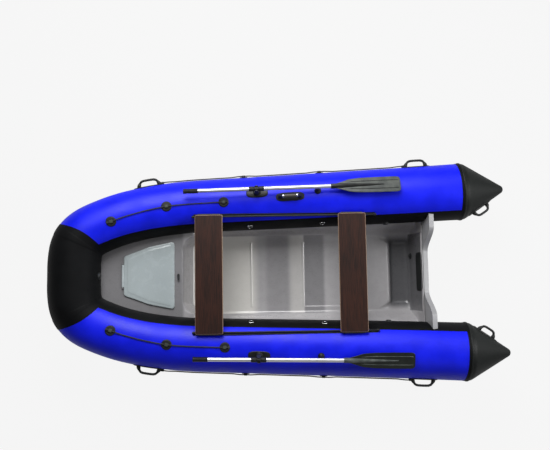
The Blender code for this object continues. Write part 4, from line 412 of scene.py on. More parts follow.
def pvc(name, slot, colour, shine, glint):
    """Coated boat cloth: a fine cross weave shows through the coat, the air makes it drift softly,
    and handling leaves duller patches."""
    made, tone = finish(name, slot, Specular_IOR_Level=glint)
    run, reach, _ = tone.parts(tone.place("UV"))
    rub = tone.cloud(0.16, 4.0)
    tone.drive(
        Base_Color=rub.step(0.3, 0.7).blend(shade(colour, 0.86), shade(colour, 1.06, 0.001)),
        Roughness=rub.step(0.35, 0.75) * 0.10 + shine,
    )
    weave = run.wave(0.0016) * reach.wave(0.0016)
    swell = tone.cloud(0.05, 1.0, (0.5, 1.0, 1.0))
    tone.relief(weave * 0.12 + swell * 1.2, 0.35, 0.0012)
    return made


blue_cloth = pvc("blue_boat_cloth", "blue_fabric", rgb(3, 22, 230), 0.40, 0.30)
black_cloth = pvc("black_boat_cloth", "black_fabric", rgb(5, 6, 8), 0.55, 0.14)
tube_runs = np.linspace(STERN_RUN, SEAM_RUN, 180)[:, None]
tube_turns = around(TUBE_SIDES)[None, :]
inner_share = np.clip(-np.sin(tube_turns), 0, 1) ** 3
bend_share = ramp(tube_runs, run_at(BEND_START_X), SEAM_RUN) ** 1.5
pucker = 0.0011 * bend_share * inner_share * np.cos(2 * math.pi * tube_runs / 0.085)
for side, label in SIDES:
    part = woven(capped(skin(tube_runs, tube_turns, pucker, side)), columns_meet=True)
    piece(f"side_tube_{label}", [part], blue_cloth, f"tube_{label}")
    dress(f"baffle_{label}", black_cloth)


# Black panels, seam tapes, rubbing strakes and bow aprons.
# A second layer of black cloth is glued round the underside of each side tube, up to half way over
# its inboard shoulder. Its outer edge is under the strake, a ribbed rubber strip. Tapes are glued
# over the bow and stern seams, and a pointed apron laps from the bow onto each side tube.
PANEL_LIFT = 0.0010
PANEL_OUTER_TURN = math.radians(116)
PANEL_INNER_TURN = math.radians(313)
STRAKE_FOOT = 0.0016
STRAKE_RISE = 0.0062
STRAKE_RIBS = 0.0016
APRON_REACH = 0.020
APRON_POINT = 0.125


def slab(top, low):
    """A closed sheet from its upper and lower grids, which meet round all four edges."""
    top = np.concatenate([low[:, :1], top, low[:, -1:]], 1)
    low = np.concatenate([low[:, :1], low, low[:, -1:]], 1)
    return woven(np.concatenate([low[:1], top, low[-1:], low[::-1]]), rows_meet=True)


def strip(runs, turns, lifts, side):
    """A thin glued layer on the tube: its upper face is lifted off the skin, its lower face sunk."""
    return slab(skin(runs, turns, lifts, side), skin(runs, turns, -0.0008, side))


rubber = pvc("black_rubber", "rubber", rgb(22, 24, 24), 0.46, 0.36)
panel_turns = np.linspace(PANEL_OUTER_TURN, PANEL_INNER_TURN, 90)[None, :]
panel_edge = np.minimum(panel_turns - PANEL_OUTER_TURN, PANEL_INNER_TURN - panel_turns)
panel_lift = PANEL_LIFT * np.clip(panel_edge / 0.02, 0.35, 1.0)
for side, label in SIDES:
    piece(f"tube_panel_{label}", [strip(tube_runs, panel_turns, panel_lift, side)], black_cloth)

strake_turns = np.radians(np.linspace(97, 119, 23))[None, :]
strake_share = np.linspace(-1, 1, 23)[None, :]
strake_ribs = STRAKE_RIBS * np.cos(3 * math.pi * strake_share)
strake_lift = STRAKE_FOOT + STRAKE_RISE * (1 - strake_share**6) + strake_ribs
strake_runs = np.linspace(STERN_RUN + 0.012, SEAM_RUN - 0.018, 150)[:, None]
strake_end = np.minimum(strake_runs - strake_runs[0], strake_runs[-1] - strake_runs)
strake_lift = strake_lift * np.clip(strake_end / 0.02, 0.3, 1)
apron_turns = np.radians(np.linspace(-150, 95, 120))[None, :]
apron_reach = APRON_REACH + APRON_POINT * (0.5 - 0.5 * np.sin(apron_turns)) ** 1.4
apron_runs = SEAM_RUN - np.linspace(0, 1, 30)[:, None] * apron_reach
tape_share = np.linspace(-1, 1, 9)[:, None]
tape_lift = 0.0022 - 0.0010 * tape_share**8
for side, label in SIDES:
    piece(f"rubbing_strake_{label}", [strip(strake_runs, strake_turns, strake_lift, side)], rubber)
    parts = []
    for middle, half in ((SEAM_RUN, 0.022), (STERN_RUN, 0.018)):
        top = skin(middle + half * tape_share, tube_turns, tape_lift, side)
        low = skin(middle + half * tape_share[[-1, 0]], tube_turns, -0.001, side)
        parts.append(woven(np.concatenate([top, low]), rows_meet=True, columns_meet=True))
    piece(f"seam_tapes_{label}", parts, black_cloth)
    piece(f"bow_apron_{label}", [strip(apron_runs, apron_turns, 0.0012, side)], black_cloth)


# Bow tube.
# The third chamber, all of black cloth, closes the bow between the two seams. It puckers on its
# inside too, most of all in its middle.
bow_runs = np.linspace(SEAM_RUN, 2 * LINE_RUN[-1] - SEAM_RUN, 70)[:, None]
bow_share = 1 - np.linspace(-1, 1, 70)[:, None] ** 2
pucker = 0.0009 * bow_share * inner_share * np.cos(2 * math.pi * bow_runs / 0.075)
rings = capped(skin(bow_runs, tube_turns, pucker))
piece("bow_tube", [woven(rings, columns_meet=True)], black_cloth, "tube_bow")


# Stern cones.
# A moulded rubber cap closes the stern end of each side tube: a short collar, a round shoulder, a
# long cone and a round tip, with a raised rim where it is welded to the tube.
CONE_LENGTH = 0.349
CONE_TIP_RADIUS = 0.034
CONE_SHOULDER = 0.060
CONE_COLLAR = 0.014
CONE_RIM = ((0.0, 0.0045), (0.004, 0.0060), (0.012, 0.0055), (0.0165, 0.0015))


def cone_line():
    """Distance aft and radius down a cone: over the rim, round a shoulder arc onto the slope that
    just touches the tip ball, then round that ball to its pole."""
    slope = math.atan2(STERN_RADIUS - CONE_TIP_RADIUS, CONE_LENGTH - CONE_COLLAR - CONE_TIP_RADIUS)
    turn = np.linspace(0, slope, 12)[2:]
    drop = CONE_SHOULDER * (1 - np.cos(turn))
    shoulder = np.stack([CONE_COLLAR + CONE_SHOULDER * np.sin(turn), STERN_RADIUS - drop], -1)
    turn = np.linspace(slope, math.pi / 2, 12)
    back = CONE_LENGTH - CONE_TIP_RADIUS * (1 - np.sin(turn))
    tip = np.stack([back, CONE_TIP_RADIUS * np.cos(turn)], -1)
    down = np.linspace(shoulder[-1], tip[0], 18)[1:-1]
    rim = np.array(CONE_RIM) + (0, STERN_RADIUS)
    return np.concatenate([[(0.0, 0.0)], rim, shoulder, down, tip])


cone_rubber = pvc("cone_rubber", "rubber", rgb(14, 18, 17), 0.50, 0.26)
stern_centre = line_point(STERN_RUN)
stern_ahead = line_ahead(STERN_RUN)
cone_aft, cone_radius = cone_line().T
spokes = unit(skin(STERN_RUN, around(96)) - stern_centre)
for side, label in SIDES:
    rings = stern_centre - stern_ahead * cone_aft[:, None, None] + spokes * cone_radius[:, None, None]
    part = woven(rings * (1, side, 1), columns_meet=True)
    piece(f"stern_cone_{label}", [part], cone_rubber, f"cone_{label}")


# Deck moulding.
# One glass fibre moulding: locker top, bulkhead, floor with two raised beads across it, sloping
# sides, side flanges under the tubes, and the well with its raked wall up to the transom's edge.
LINER_WALL = 0.005
LINER_GAP = 0.0003
FLOOR_HEIGHT = 0.170
FLOOR_HALF_WIDTH = 0.300
FLOOR_BEADS = (0.228, -0.188)
FLANGE_HEIGHT = 0.292
LOCKER_HEIGHT = 0.395
LOCKER_SLOPE = 0.070
LOCKER_END_X = 0.752
DECK_END_X = -1.225
LOCKER_STATIONS = (1.392, 1.330, 1.250, 1.160, 1.050, 0.940, 0.840, 0.780)
BULKHEAD_RUN = 0.050
BULKHEAD_SWEEP = 0.085
BULKHEAD_SHARES = ((0.0, 1.0), (0.1, 0.95), (0.9, 0.06), (1.25, 0.0))
FLOOR_STATIONS = (0.540, 0.300, 0.000, -0.300, -0.600)
WELL_START_X = -0.870
WELL_HALF_WIDTH = 0.235
WELL_DEPTH = 0.065
WELL_RUN = 0.035
WELL_SWEEP = 0.110
WELL_SHARES = ((0.0, 0.0), (0.35, 0.25), (1.0, 1.0))
WELL_END_X = -1.030
WALL_SHARES = (0.06, 0.35, 0.66, 0.85, 1.0)
FRAME_RISE = 0.004
TRANSOM_RAKE = math.radians(12)
TRANSOM_BASE_X = -1.031
TRANSOM_LOW = 0.385


def clear_breadth(x, height):
    """Half breadth between the tubes at stations and heights, found on the skin of each run."""
    runs = np.linspace(run_at(DECK_END_X), SEAM_RUN, 90)
    centre = line_point(runs)
    away = skin(runs, -math.pi / 2) - centre
    radius = np.linalg.norm(away, axis=-1)
    share = np.sqrt(np.clip(radius**2 - (height[:, None] - centre[:, 2]) ** 2, 0, None)) / radius
    found = centre + away * share[..., None]
    return np.array([np.interp(at, row[:, 0], row[:, 1]) for at, row in zip(x, found)])


def aft_wall_x(height):
    """The station of the deck's aft wall at a height, on the transom's rake."""
    leaning = TRANSOM_BASE_X - height * math.tan(TRANSOM_RAKE)
    return leaning + (LINER_GAP + LINER_WALL) / math.cos(TRANSOM_RAKE)


def deck_rows():
    """Rows of the deck's corners, half a row each, bow to transom: locker top, bulkhead, floor,
    well and aft wall, each point moved between its floor place and its locker place by a share."""
    table = [(x, 1.0, 0.0) for x in LOCKER_STATIONS]
    table += [(LOCKER_END_X - run * BULKHEAD_RUN, share, 0.0) for run, share in BULKHEAD_SHARES]
    table += [(x, 0.0, 0.0) for x in FLOOR_STATIONS]
    table += [(WELL_START_X - run * WELL_RUN, 0.0, share) for run, share in WELL_SHARES]
    table += [(WELL_END_X, 0.0, 1.0)] * (len(WALL_SHARES) + 1)
    ends = np.cumsum([len(LOCKER_STATIONS), len(BULKHEAD_SHARES), len(FLOOR_STATIONS), len(WELL_SHARES)])
    bulkhead, well_step = slice(ends[0], ends[1]), slice(ends[2], ends[3])
    x, locker, well = (column[:, None] for column in np.array(table).T)
    flange = FLANGE_HEIGHT + bow_rise(x)
    top = LOCKER_HEIGHT + LOCKER_SLOPE * (x - LOCKER_END_X)
    edge = flange + locker * (top - flange)
    breadth = clear_breadth(x[:, 0], edge[:, 0])[:, None]
    floor = FLOOR_HEIGHT - well * WELL_DEPTH
    foot = FLOOR_HEIGHT - well * WELL_DEPTH / 4
    level = (0, WELL_HALF_WIDTH / 2, WELL_HALF_WIDTH, FLOOR_HALF_WIDTH, FLOOR_HALF_WIDTH + 0.020)
    across = np.hstack([level * np.ones_like(x), breadth - 0.022, breadth - 0.010])
    high = np.hstack([floor, floor, floor, foot, foot + 0.020, flange - 0.010, flange])
    shares = np.array([0.0, 0.36, 0.65, 0.83, 0.88, 0.94, 0.967])
    across += locker * (shares * breadth - across)
    high += locker * (top - high)
    across = np.hstack([across, breadth + 0.020])
    high = np.hstack([high, edge])
    beyond = ramp(across, WELL_HALF_WIDTH, FLOOR_HALF_WIDTH)
    stations = np.repeat(x, 8, 1)
    stations[bulkhead] -= BULKHEAD_SWEEP * beyond[bulkhead] ** 2
    well_run = np.array(WELL_SHARES)[:, :1]
    stations[well_step] += WELL_SWEEP * beyond[well_step] * (1 - well_run)
    well_floor = FLOOR_HEIGHT - WELL_DEPTH
    height = well_floor + np.array(WALL_SHARES)[:, None] * (TRANSOM_LOW - well_floor)
    high[-len(height) :] = np.maximum(high[-len(height) :], height)
    stations[-len(height) :] = aft_wall_x(height)
    half = np.stack([stations, across, high], -1)
    return np.concatenate([half[:, :0:-1] * (1, -1, 1), half], 1)


def refined(corners, step):
    """The straight-sided grid cut finer: between two rows or columns, as many even steps as their
    widest gap needs."""
    for axis in (0, 1):
        corners = np.swapaxes(corners, 0, axis)
        gaps = np.linalg.norm(np.diff(corners, axis=0), axis=-1).max(1)
        counts = np.maximum(1, np.ceil(gaps / step)).astype(int)
        first = np.repeat(np.arange(len(counts)), counts)
        share = np.concatenate([np.arange(count) / count for count in counts])[:, None, None]
        fine = corners[first] * (1 - share) + corners[first + 1] * share
        corners = np.swapaxes(np.concatenate([fine, corners[-1:]]), 0, axis)
    return corners


def softened(points, rounds):
    """Rounds the corners of a fine grid or path: each point inside it becomes the mean of itself,
    counted twice, and its two neighbours, first along the rows, then across, many times over."""
    for _ in range(rounds):
        for axis in range(points.ndim - 1):
            turned_grid = np.swapaxes(points, 0, axis)
            turned_grid[1:-1] = (turned_grid[:-2] + 2 * turned_grid[1:-1] + turned_grid[2:]) / 4
    return points


def wall_of(top, thickness):
    """The same grid moved down its normals by a wall thickness; a normal is the cross product of
    the steps to the next row and the next column."""
    normal = unit(np.cross(np.gradient(top, axis=0), np.gradient(top, axis=1)))
    return top - normal * np.sign(normal[..., 2:]) * thickness


def deck_painted_light_and_shade(tone, clean):
    """The deck's colour with painted shade and painted light: painted shade darkens the well, the aft
    wall's middle panel, the locker top round the lid and two bands of the floor; painted light makes
    two strips of the floor pale."""
    x, y, z = tone.parts(tone.place())
    # Masks for the painted shade in the well, on the aft wall's middle panel and round the lid.
    in_well = z.step(0.158, 0.112)
    off_middle = tone.math("ABSOLUTE", y)
    on_panel = x.step(-1.034, -1.044) * z.step(0.374, 0.364) * off_middle.step(0.310, 0.300)
    round_lid = z.step(0.345, 0.372) * x.step(0.73, 0.76)
    first_band = x.step(0.135, 0.080) * x.step(-0.095, -0.055)
    second_band = x.step(-0.190, -0.205) * x.step(-0.375, -0.340)
    before_second = x.step(-0.045, -0.120) * x.step(-0.200, -0.185)
    on_floor = z.step(0.185, 0.178)
    # Painted shade in two bands of the floor, painted light on two strips of it.
    painted_shade_bands = on_floor * (first_band * 0.30 + second_band * 0.58)
    painted_light_strips = on_floor * (x.step(0.150, 0.240) * 0.95 + before_second * 0.45)
    aft = tone.math("MAXIMUM", in_well, on_panel * 0.85)
    painted_shade = tone.math("MAXIMUM", aft, round_lid * 0.62 + painted_shade_bands)
    # Painted shade blends to rgb(88, 88, 91), painted light to rgb(204, 202, 197).
    return painted_shade.blend(painted_light_strips.blend(clean, rgb(204, 202, 197)), rgb(88, 88, 91))


deck = softened(refined(deck_rows(), step=0.008), rounds=7)
x, breadth = deck[..., 0], np.abs(deck[..., 1])
on_floor = ramp(breadth, 0.265, 0.253) * (deck[..., 2] < 0.2)
bead = sum(np.exp(-(((x - middle) / 0.006) ** 2)) for middle in FLOOR_BEADS)
step_down = ramp(x, -0.178, -0.188) * ramp(x, -0.50, -0.47)
deck[..., 2] += on_floor * (0.0075 * bead - 0.0040 * step_down)
z = deck[..., 2]
on_wall = np.clip(1.4 - np.abs(x - aft_wall_x(z)) / 0.008, 0, 1) * (z > 0.11)
frame_share = np.maximum(ramp(breadth, 0.300, 0.310), ramp(z, 0.366, 0.375))
deck[..., 0] += FRAME_RISE * on_wall * frame_share
# The deck's finish carries painted shade and painted light over its gelcoat colour.
floor_grey = gelcoat("deck_gelcoat", "gelcoat", rgb(162, 160, 162), 0.30, deck_painted_light_and_shade)
part = slab(deck, wall_of(deck, LINER_WALL))
deck_piece = piece("deck_moulding", [part], floor_grey, "deck_liner", crease=50)


def axes(ahead, across, out, origin):
    """A place from its X, Y and Z axes and its origin."""
    place = Matrix((ahead, across, out)).transposed().to_4x4()
    place.translation = Vector(origin)
    return place


def deck_place(x, lift=0.0):
    """Place on the locker's sloping top at a station: X forward along it, Z square out of it."""
    place = Matrix.Rotation(-math.atan(LOCKER_SLOPE), 4, "Y")
    out = place.to_3x3() @ Vector((0, 0, 1))
    place.translation = Vector((x, 0, LOCKER_HEIGHT + LOCKER_SLOPE * (x - LOCKER_END_X))) + lift * out
    return place


def put(points, place):
    """Points moved from a place's own axes to the boat's."""
    turn = np.array(place)
    return points @ turn[:3, :3].T + turn[:3, 3]


def evenly(path, count):
    """A path read off at even steps from end to end."""
    run = run_along(path)
    return read_off(path, run, np.linspace(0, run[-1], count))


LID_BACK_X = 0.812
LID_FRONT_X = 1.200
LID_BACK_HALF_WIDTH = 0.262
LID_FRONT_HALF_WIDTH = 0.150
LID_SIDE_BEND = 0.016
LID_POINTS = 160


def spun(radius, turn):
    """Points round a circle: radius times the cosine and the sine of each turn."""
    return np.stack([radius * np.cos(turn), radius * np.sin(turn)], -1)


def lid_line(inset, corner):
    """The lid's outline drawn in by an inset: a six-cornered trapezium with round corners, read off
    at even steps. Each corner is an arc that touches both of its sides."""
    length = LID_FRONT_X - LID_BACK_X
    middle = (LID_BACK_HALF_WIDTH + LID_FRONT_HALF_WIDTH) / 2 + LID_SIDE_BEND
    breadths = np.array([LID_BACK_HALF_WIDTH, middle, LID_FRONT_HALF_WIDTH]) - inset
    right = np.column_stack([(inset, length / 2, length - inset), breadths])
    corners = np.concatenate([right * (1, -1), right[::-1]])
    before, after = (unit(np.roll(corners, way, 0) - corners) for way in (1, -1))
    half = np.arccos(np.clip((before * after).sum(1), -1, 1)) / 2
    middles = unit(before + after)
    heart = corners + middles * (corner / np.sin(half))[:, None]
    sweep = (math.pi / 2 - half)[:, None] * np.linspace(-1, 1, 13)
    turn = np.arctan2(-middles[:, 1], -middles[:, 0])[:, None] + sweep
    loop = (heart[:, None] + corner * spun(1.0, turn)).reshape(-1, 2)
    return evenly(np.vstack([loop, loop[:1]]), LID_POINTS + 1)[:-1]


def solid_outline(outline, low, high):
    """A closed block from an outline: a ring at the bottom, one at the top, both drawn to a point."""
    rings = [np.insert(outline, 2, height, axis=1) for height in (low, high)]
    return capped(np.array(rings))


def cut_out(target, rings):
    """Cuts a closed shape out of a piece for good."""
    cutter = bpy.data.objects.new("cutter", joined("cutter", [woven(rings, columns_meet=True)]))
    bpy.context.scene.collection.objects.link(cutter)
    cut = target.modifiers.new("cut", "BOOLEAN")
    cut.operation = "DIFFERENCE"
    cut.solver = "EXACT"
    cut.object = cutter
    bpy.context.view_layer.objects.active = target
    bpy.ops.object.modifier_apply(modifier="cut")
    bpy.data.objects.remove(cutter)


cut_out(deck_piece, put(solid_outline(lid_line(0.022, 0.011), -0.03, 0.03), deck_place(LID_BACK_X)))


# Transom and motor pads.
# The raked glass fibre transom has a plywood board inside and a low middle for the motor. Ribbed
# rubber pads take the clamps, inside and outside, and two steel towing eyes are bolted through it.
NOTCH_LOW = TRANSOM_LOW / math.cos(TRANSOM_RAKE)
NOTCH_RISE = 0.1329
NOTCH_KNOTS = (0.170, 0.1917, 0.2133, 0.2567, 0.2783, 0.300)
NOTCH_SHARES = (0.0, 0.067, 0.25, 0.75, 0.933, 1.0)
NOTCH_START = 0.150
NOTCH_END = 0.338
PAD_HALF_WIDTH = 0.150
PAD_HALF_HEIGHT = 0.060
PAD_MIDDLE = NOTCH_LOW - 0.008 - PAD_HALF_HEIGHT
PAD_THICKNESS = 0.0052
PAD_RIBS = 0.0012
PAD_RIB_PITCH = 0.012
EYE_Y = 0.245
EYE_CLIMB = 0.26
EYE_KNOTS = ((-0.025, 0.0), (-0.025, 0.030), (-0.012, 0.046), (0.012, 0.046), (0.025, 0.030), (0.025, 0.0))


def bar(path, radius, sides=16, up=(0, 0, 1), lobes=0, pitch=1.0):
    """A round bar along a path: at each point a circle square to the path, its start set by a fixed
    up direction, its ends drawn in over a round rim. Lobes twist round it once to each pitch."""
    ahead = unit(np.gradient(path, axis=0))
    across = unit(np.cross(np.broadcast_to(up, path.shape), ahead))
    above = np.cross(ahead, across)
    radius = np.broadcast_to(radius, len(path)).astype(float)
    turns = around(sides)
    lobe = np.ones(sides)
    if lobes:
        twist = 2 * math.pi * run_along(path)[:, None] / pitch
        lobe = 0.86 + 0.14 * np.abs(np.cos(lobes / 2 * (turns - twist)))
    ring = across[:, None] * np.cos(turns)[:, None] + above[:, None] * np.sin(turns)[:, None]
    rings = path[:, None] + ring * (radius[:, None] * lobe)[..., None]
    ends = []
    for index, sense in ((0, -1), (-1, 1)):
        rim = np.array([(0.22, 0.92), (0.38, 0.70), (0.46, 0.35)])[:, :, None, None]
        along = path[index] + sense * ahead[index] * radius[index] * rim[:, 0]
        ends.append(along + (rings[index] - path[index])[None] * rim[:, 1])
    return woven(capped(np.concatenate([ends[0][::-1], rings, ends[1]])), columns_meet=True)


def rounded(knots, count, rounds=3):
    """A path through knots read off at even steps, its bends eased by averaging neighbours."""
    return softened(evenly(np.asarray(knots, float), count), rounds)


def patch(half_length, half_width, power, count):
    """A square grid squeezed into a round-cornered outline: each point is scaled by the larger of
    its two shares over their combined power mean. Also gives that larger share, 1 at the rim."""
    s, t = np.meshgrid(np.linspace(-1, 1, count), np.linspace(-1, 1, count), indexing="ij")
    larger = np.maximum(np.abs(s), np.abs(t))
    mean = (np.abs(s) ** power + np.abs(t) ** power) ** (1 / power)
    scale = np.divide(larger, mean, out=np.ones_like(larger), where=mean > 0)
    return half_length * s * scale, half_width * t * scale, larger


def rolled(larger, foot, roll):
    """The share of a pad's height: whole inside, and down to a foot at its rim by a square root."""
    return foot + (1 - foot) * ramp(larger, 1, 1 - roll) ** 0.5


transom_grey = gelcoat("transom_gelcoat", "gelcoat", rgb(147, 147, 149), 0.30)
transom = eased("transom_skin", "transom", transom_grey, edge=0.0035, crease=30.0)
rake_up = Vector((-math.sin(TRANSOM_RAKE), 0, math.cos(TRANSOM_RAKE)))
rake_out = Vector((math.cos(TRANSOM_RAKE), 0, math.sin(TRANSOM_RAKE)))
rake_place = axes(Vector((0, 1, 0)), rake_up, rake_out, Vector((TRANSOM_BASE_X, 0, 0)))
edit = bmesh.new()
edit.from_mesh(transom.data)
for cut in np.linspace(0.152, 0.336, 24):
    for side in (1, -1):
        whole = edit.verts[:] + edit.edges[:] + edit.faces[:]
        bmesh.ops.bisect_plane(edit, geom=whole, plane_co=(0, side * cut, 0), plane_no=(0, 1, 0))
for corner in edit.verts:
    reach = abs(corner.co.y)
    climb = (corner.co - rake_place.translation).dot(rake_up)
    old = NOTCH_LOW + NOTCH_RISE * float(np.interp(reach, NOTCH_KNOTS, NOTCH_SHARES))
    if reach < 0.340 and climb > old - 0.0015:
        corner.co += (NOTCH_LOW + NOTCH_RISE * float(ease(reach, NOTCH_START, NOTCH_END)) - old) * rake_up
edit.to_mesh(transom.data)
edit.free()
ply, tone = finish("core_plywood", "", Roughness=0.7)
grain = tone.cloud(0.01, 4.0, (0.1, 0.1, 1.0))
tone.drive(Base_Color=grain.blend(rgb(196, 160, 112), rgb(160, 122, 80)))
dress("transom_core", ply)
for node, low, sense in (("motor_pad_inner", 0.0056, 1), ("motor_pad_outer", -0.0383, -1)):
    across, climb, larger = patch(PAD_HALF_WIDTH, PAD_HALF_HEIGHT, 9.0, 61)
    ribs = PAD_RIBS * (0.5 + 0.5 * np.cos(2 * math.pi * climb / PAD_RIB_PITCH)) * (larger < 0.88)
    height = sense * (PAD_THICKNESS * rolled(larger, foot=0.4, roll=0.06) + ribs)
    faces = [np.stack([across, climb + PAD_MIDDLE, low + rise], -1) for rise in (height, 0 * height)]
    piece(f"ribbed_{node}", [slab(*put(np.array(faces), rake_place))], rubber, node)

steel, tone = finish("stainless_steel", "steel", Metallic=1.0)
smear = tone.cloud(0.02, 4.0)
tone.drive(
    Base_Color=smear.blend(rgb(196, 198, 200), rgb(226, 227, 228)),
    Roughness=smear.step(0.3, 0.7) * 0.14 + 0.16,
)
for side, label in SIDES:
    knots = [(side * EYE_Y + across, EYE_CLIMB, -0.030 - out) for across, out in EYE_KNOTS]
    parts = [bar(put(rounded(knots, 40), rake_place), 0.004)]
    across, climb, larger = patch(0.040, 0.014, 5.0, 15)
    height = -0.038 - 0.0030 * np.clip((1 - larger) / 0.15, 0.3, 1)
    faces = [(side * EYE_Y + across, EYE_CLIMB + climb, out) for out in (height, 0 * height - 0.036)]
    parts.append(slab(*put(np.moveaxis(np.array(faces), 1, -1), rake_place)))
    piece(f"stern_eye_{label}", parts, steel)


# Drain.
# A flanged plastic sleeve goes through the transom low in the well, and a plug with a knurled knob
# is pushed into it from inside the boat.
DRAIN_Y = -0.130
DRAIN_HEIGHT = 0.150
DRAIN_BORE = 0.0164
SLEEVE_LINE = (
    ((0.012, -0.043), (0.016, -0.043), (0.016, 0.0), (0.0235, 0.0), (0.024, 0.0006))
    + ((0.0238, 0.0022), (0.0225, 0.0030), (0.0128, 0.0030), (0.012, 0.0022))
)
PLUG_LINE = (
    ((0.0, -0.0267), (0.0108, -0.0267), (0.0114, -0.0255), (0.0114, 0.0033), (0.0185, 0.0033))
    + ((0.019, 0.0040), (0.019, 0.0082), (0.0180, 0.0093), (0.0110, 0.0096), (0.0100, 0.0105))
    + ((0.0096, 0.0140), (0.0086, 0.0153), (0.0, 0.0153))
)


def moulded(name, colours, patches, wear, dulling, shine, glint, pebble):
    """Moulded plastic: its shade drifts between two colours, it is dulled where it is worn, and its
    mould has left a fine pebble."""
    made, tone = finish(name, "dark_plastic", Specular_IOR_Level=glint)
    worn = tone.cloud(patches, 3.0)
    tone.drive(Base_Color=worn.step(*wear).blend(*colours), Roughness=worn * dulling + shine)
    tone.relief(tone.cloud(pebble, 1.0), 0.25, 0.0003)
    return made


def turned(profile, place, sides=40, flutes=0, depth=0.0, hollow=False):
    """A line of radii and heights turned about the Z axis of a place, closed at both poles, or round
    to its own start where it is hollow. Flutes sink each radius past 0.6 of the widest."""
    radius, height = np.asarray(profile, float).T[..., None]
    turns = around(sides)
    sunk = depth * (0.5 - 0.5 * np.cos(flutes * turns)) * (radius > 0.6 * radius.max())
    rings = np.dstack([spun(radius - sunk, turns), np.broadcast_to(height, sunk.shape)])
    return woven(put(rings, place), rows_meet=hollow, columns_meet=True)


plastic_greys = (rgb(30, 32, 33), rgb(46, 48, 49))
plastic = moulded(
    "dark_plastic", plastic_greys, 0.006, wear=(0.3, 0.8), dulling=0.2, shine=0.34, glint=0.45, pebble=0.0009
)
drain_climb = DRAIN_HEIGHT / math.cos(TRANSOM_RAKE)
drain_place = rake_place @ Matrix.Translation((DRAIN_Y, drain_climb, 0.0056))
piece("drain_sleeve", [turned(SLEEVE_LINE, drain_place, hollow=True)], plastic, "drain_bush")
bore = spun(DRAIN_BORE, around(40))
cut_out(deck_piece, put(solid_outline(bore, -0.020, 0.012), drain_place))
piece("drain_stopper", [turned(PLUG_LINE, drain_place, 72, flutes=18, depth=0.0007)], plastic, "drain_plug")


# Locker lid, hinge and latch.
# The lid is a lighter grey moulding, hollow underneath, with a rolled edge and a raised tread. It
# turns up about a steel pin at its front edge, and a plastic turn button holds it shut.
LID_SECTION = (
    ((0.120, 0.0158), (0.060, 0.0158), (0.034, 0.0158), (0.030, 0.0154), (0.027, 0.0140))
    + ((0.012, 0.0140), (0.004, 0.0132), (0.001, 0.0115), (0.0, 0.0095), (0.0, 0.0010))
    + ((0.001, 0.0003), (0.028, 0.0003), (0.029, 0.0090), (0.060, 0.0090), (0.120, 0.0090))
)
EAR_RADIUS = 0.0064
EAR_START = 0.0856
lid_grey = gelcoat("lid_gelcoat", "pale_gelcoat", rgb(168, 178, 180), 0.26)
rings = [np.insert(lid_line(inset, max(0.022 - inset, 0.006)), 2, high, 1) for inset, high in LID_SECTION]
parts = [woven(capped(put(np.array(rings), deck_place(LID_BACK_X))), columns_meet=True)]
hinge_place = deck_place(LID_FRONT_X + 0.009, 0.0078)
barrel = np.linspace((0, -0.083, 0), (0, 0.083, 0), 40)
parts.append(bar(put(barrel, hinge_place), 0.0068, 24))
leaf = np.stack(np.meshgrid(np.linspace(-0.018, 0, 5), np.linspace(-0.085, 0.085, 9), indexing="ij"), -1)
leaf = np.insert(leaf, 2, 0.005, axis=2)
parts.append(slab(put(leaf, hinge_place), put(leaf * (1, 1, -1), hinge_place)))
piece("locker_lid_shell", parts, lid_grey, "locker_lid")
dress("lid_hinge_pin", steel)
ear = spun(EAR_RADIUS, np.linspace(-0.35, math.pi + 0.35, 21))
ear = np.vstack([ear, [(-EAR_RADIUS, -0.011), (EAR_RADIUS, -0.011)]])
parts = []
for side in (1, -1):
    rings = []
    for depth, size in ((0.0, 0.9), (0.0008, 1.0), (0.0112, 1.0), (0.012, 0.9)):
        ring = (ear - ear.mean(0)) * size + ear.mean(0)
        rings.append(np.insert(ring, 1, side * (EAR_START + depth), axis=1))
    parts.append(woven(capped(put(np.array(rings), hinge_place)), columns_meet=True))
piece("hinge_ears", parts, floor_grey)
eased("lid_latch", "turn_button", plastic, edge=0.0010, crease=30.0)


# Seat rails and shoes.
# Each side tube carries one black rubber rail: a glued foot, a thin neck and a round bead, with a
# stop at each end. Moulded plastic shoes grip the bead and slide along it under the benches.
FRONT_SEAT_X = 0.522
REAR_SEAT_X = -0.550
BEAD_Y = 0.43238
FRONT_BEAD_HEIGHT = 0.57905
REAR_BEAD_HEIGHT = 0.55012
RAIL_SLOPE = (FRONT_BEAD_HEIGHT - REAR_BEAD_HEIGHT) / (FRONT_SEAT_X - REAR_SEAT_X)
STOP_STATIONS = (0.640, -0.730)
for side, label in SIDES:
    eased(f"seat_rail_{label}", f"rail_{label}", rubber, edge=0.0008, crease=30.0)
    parts = []
    for x in STOP_STATIONS:
        middle = np.array([x, side * BEAD_Y, FRONT_BEAD_HEIGHT + (x - FRONT_SEAT_X) * RAIL_SLOPE])
        ends = middle + np.outer((-0.007, 0.007), (1, 0, RAIL_SLOPE))
        parts.append(bar(rounded(ends, 5, 0), 0.0095, 24))
    piece(f"rail_stops_{label}", parts, rubber)
    for end in ("front", "rear"):
        eased(f"seat_shoe_{end}_{label}", f"shoe_{end}_{label}", plastic, edge=0.0015, crease=35.0)


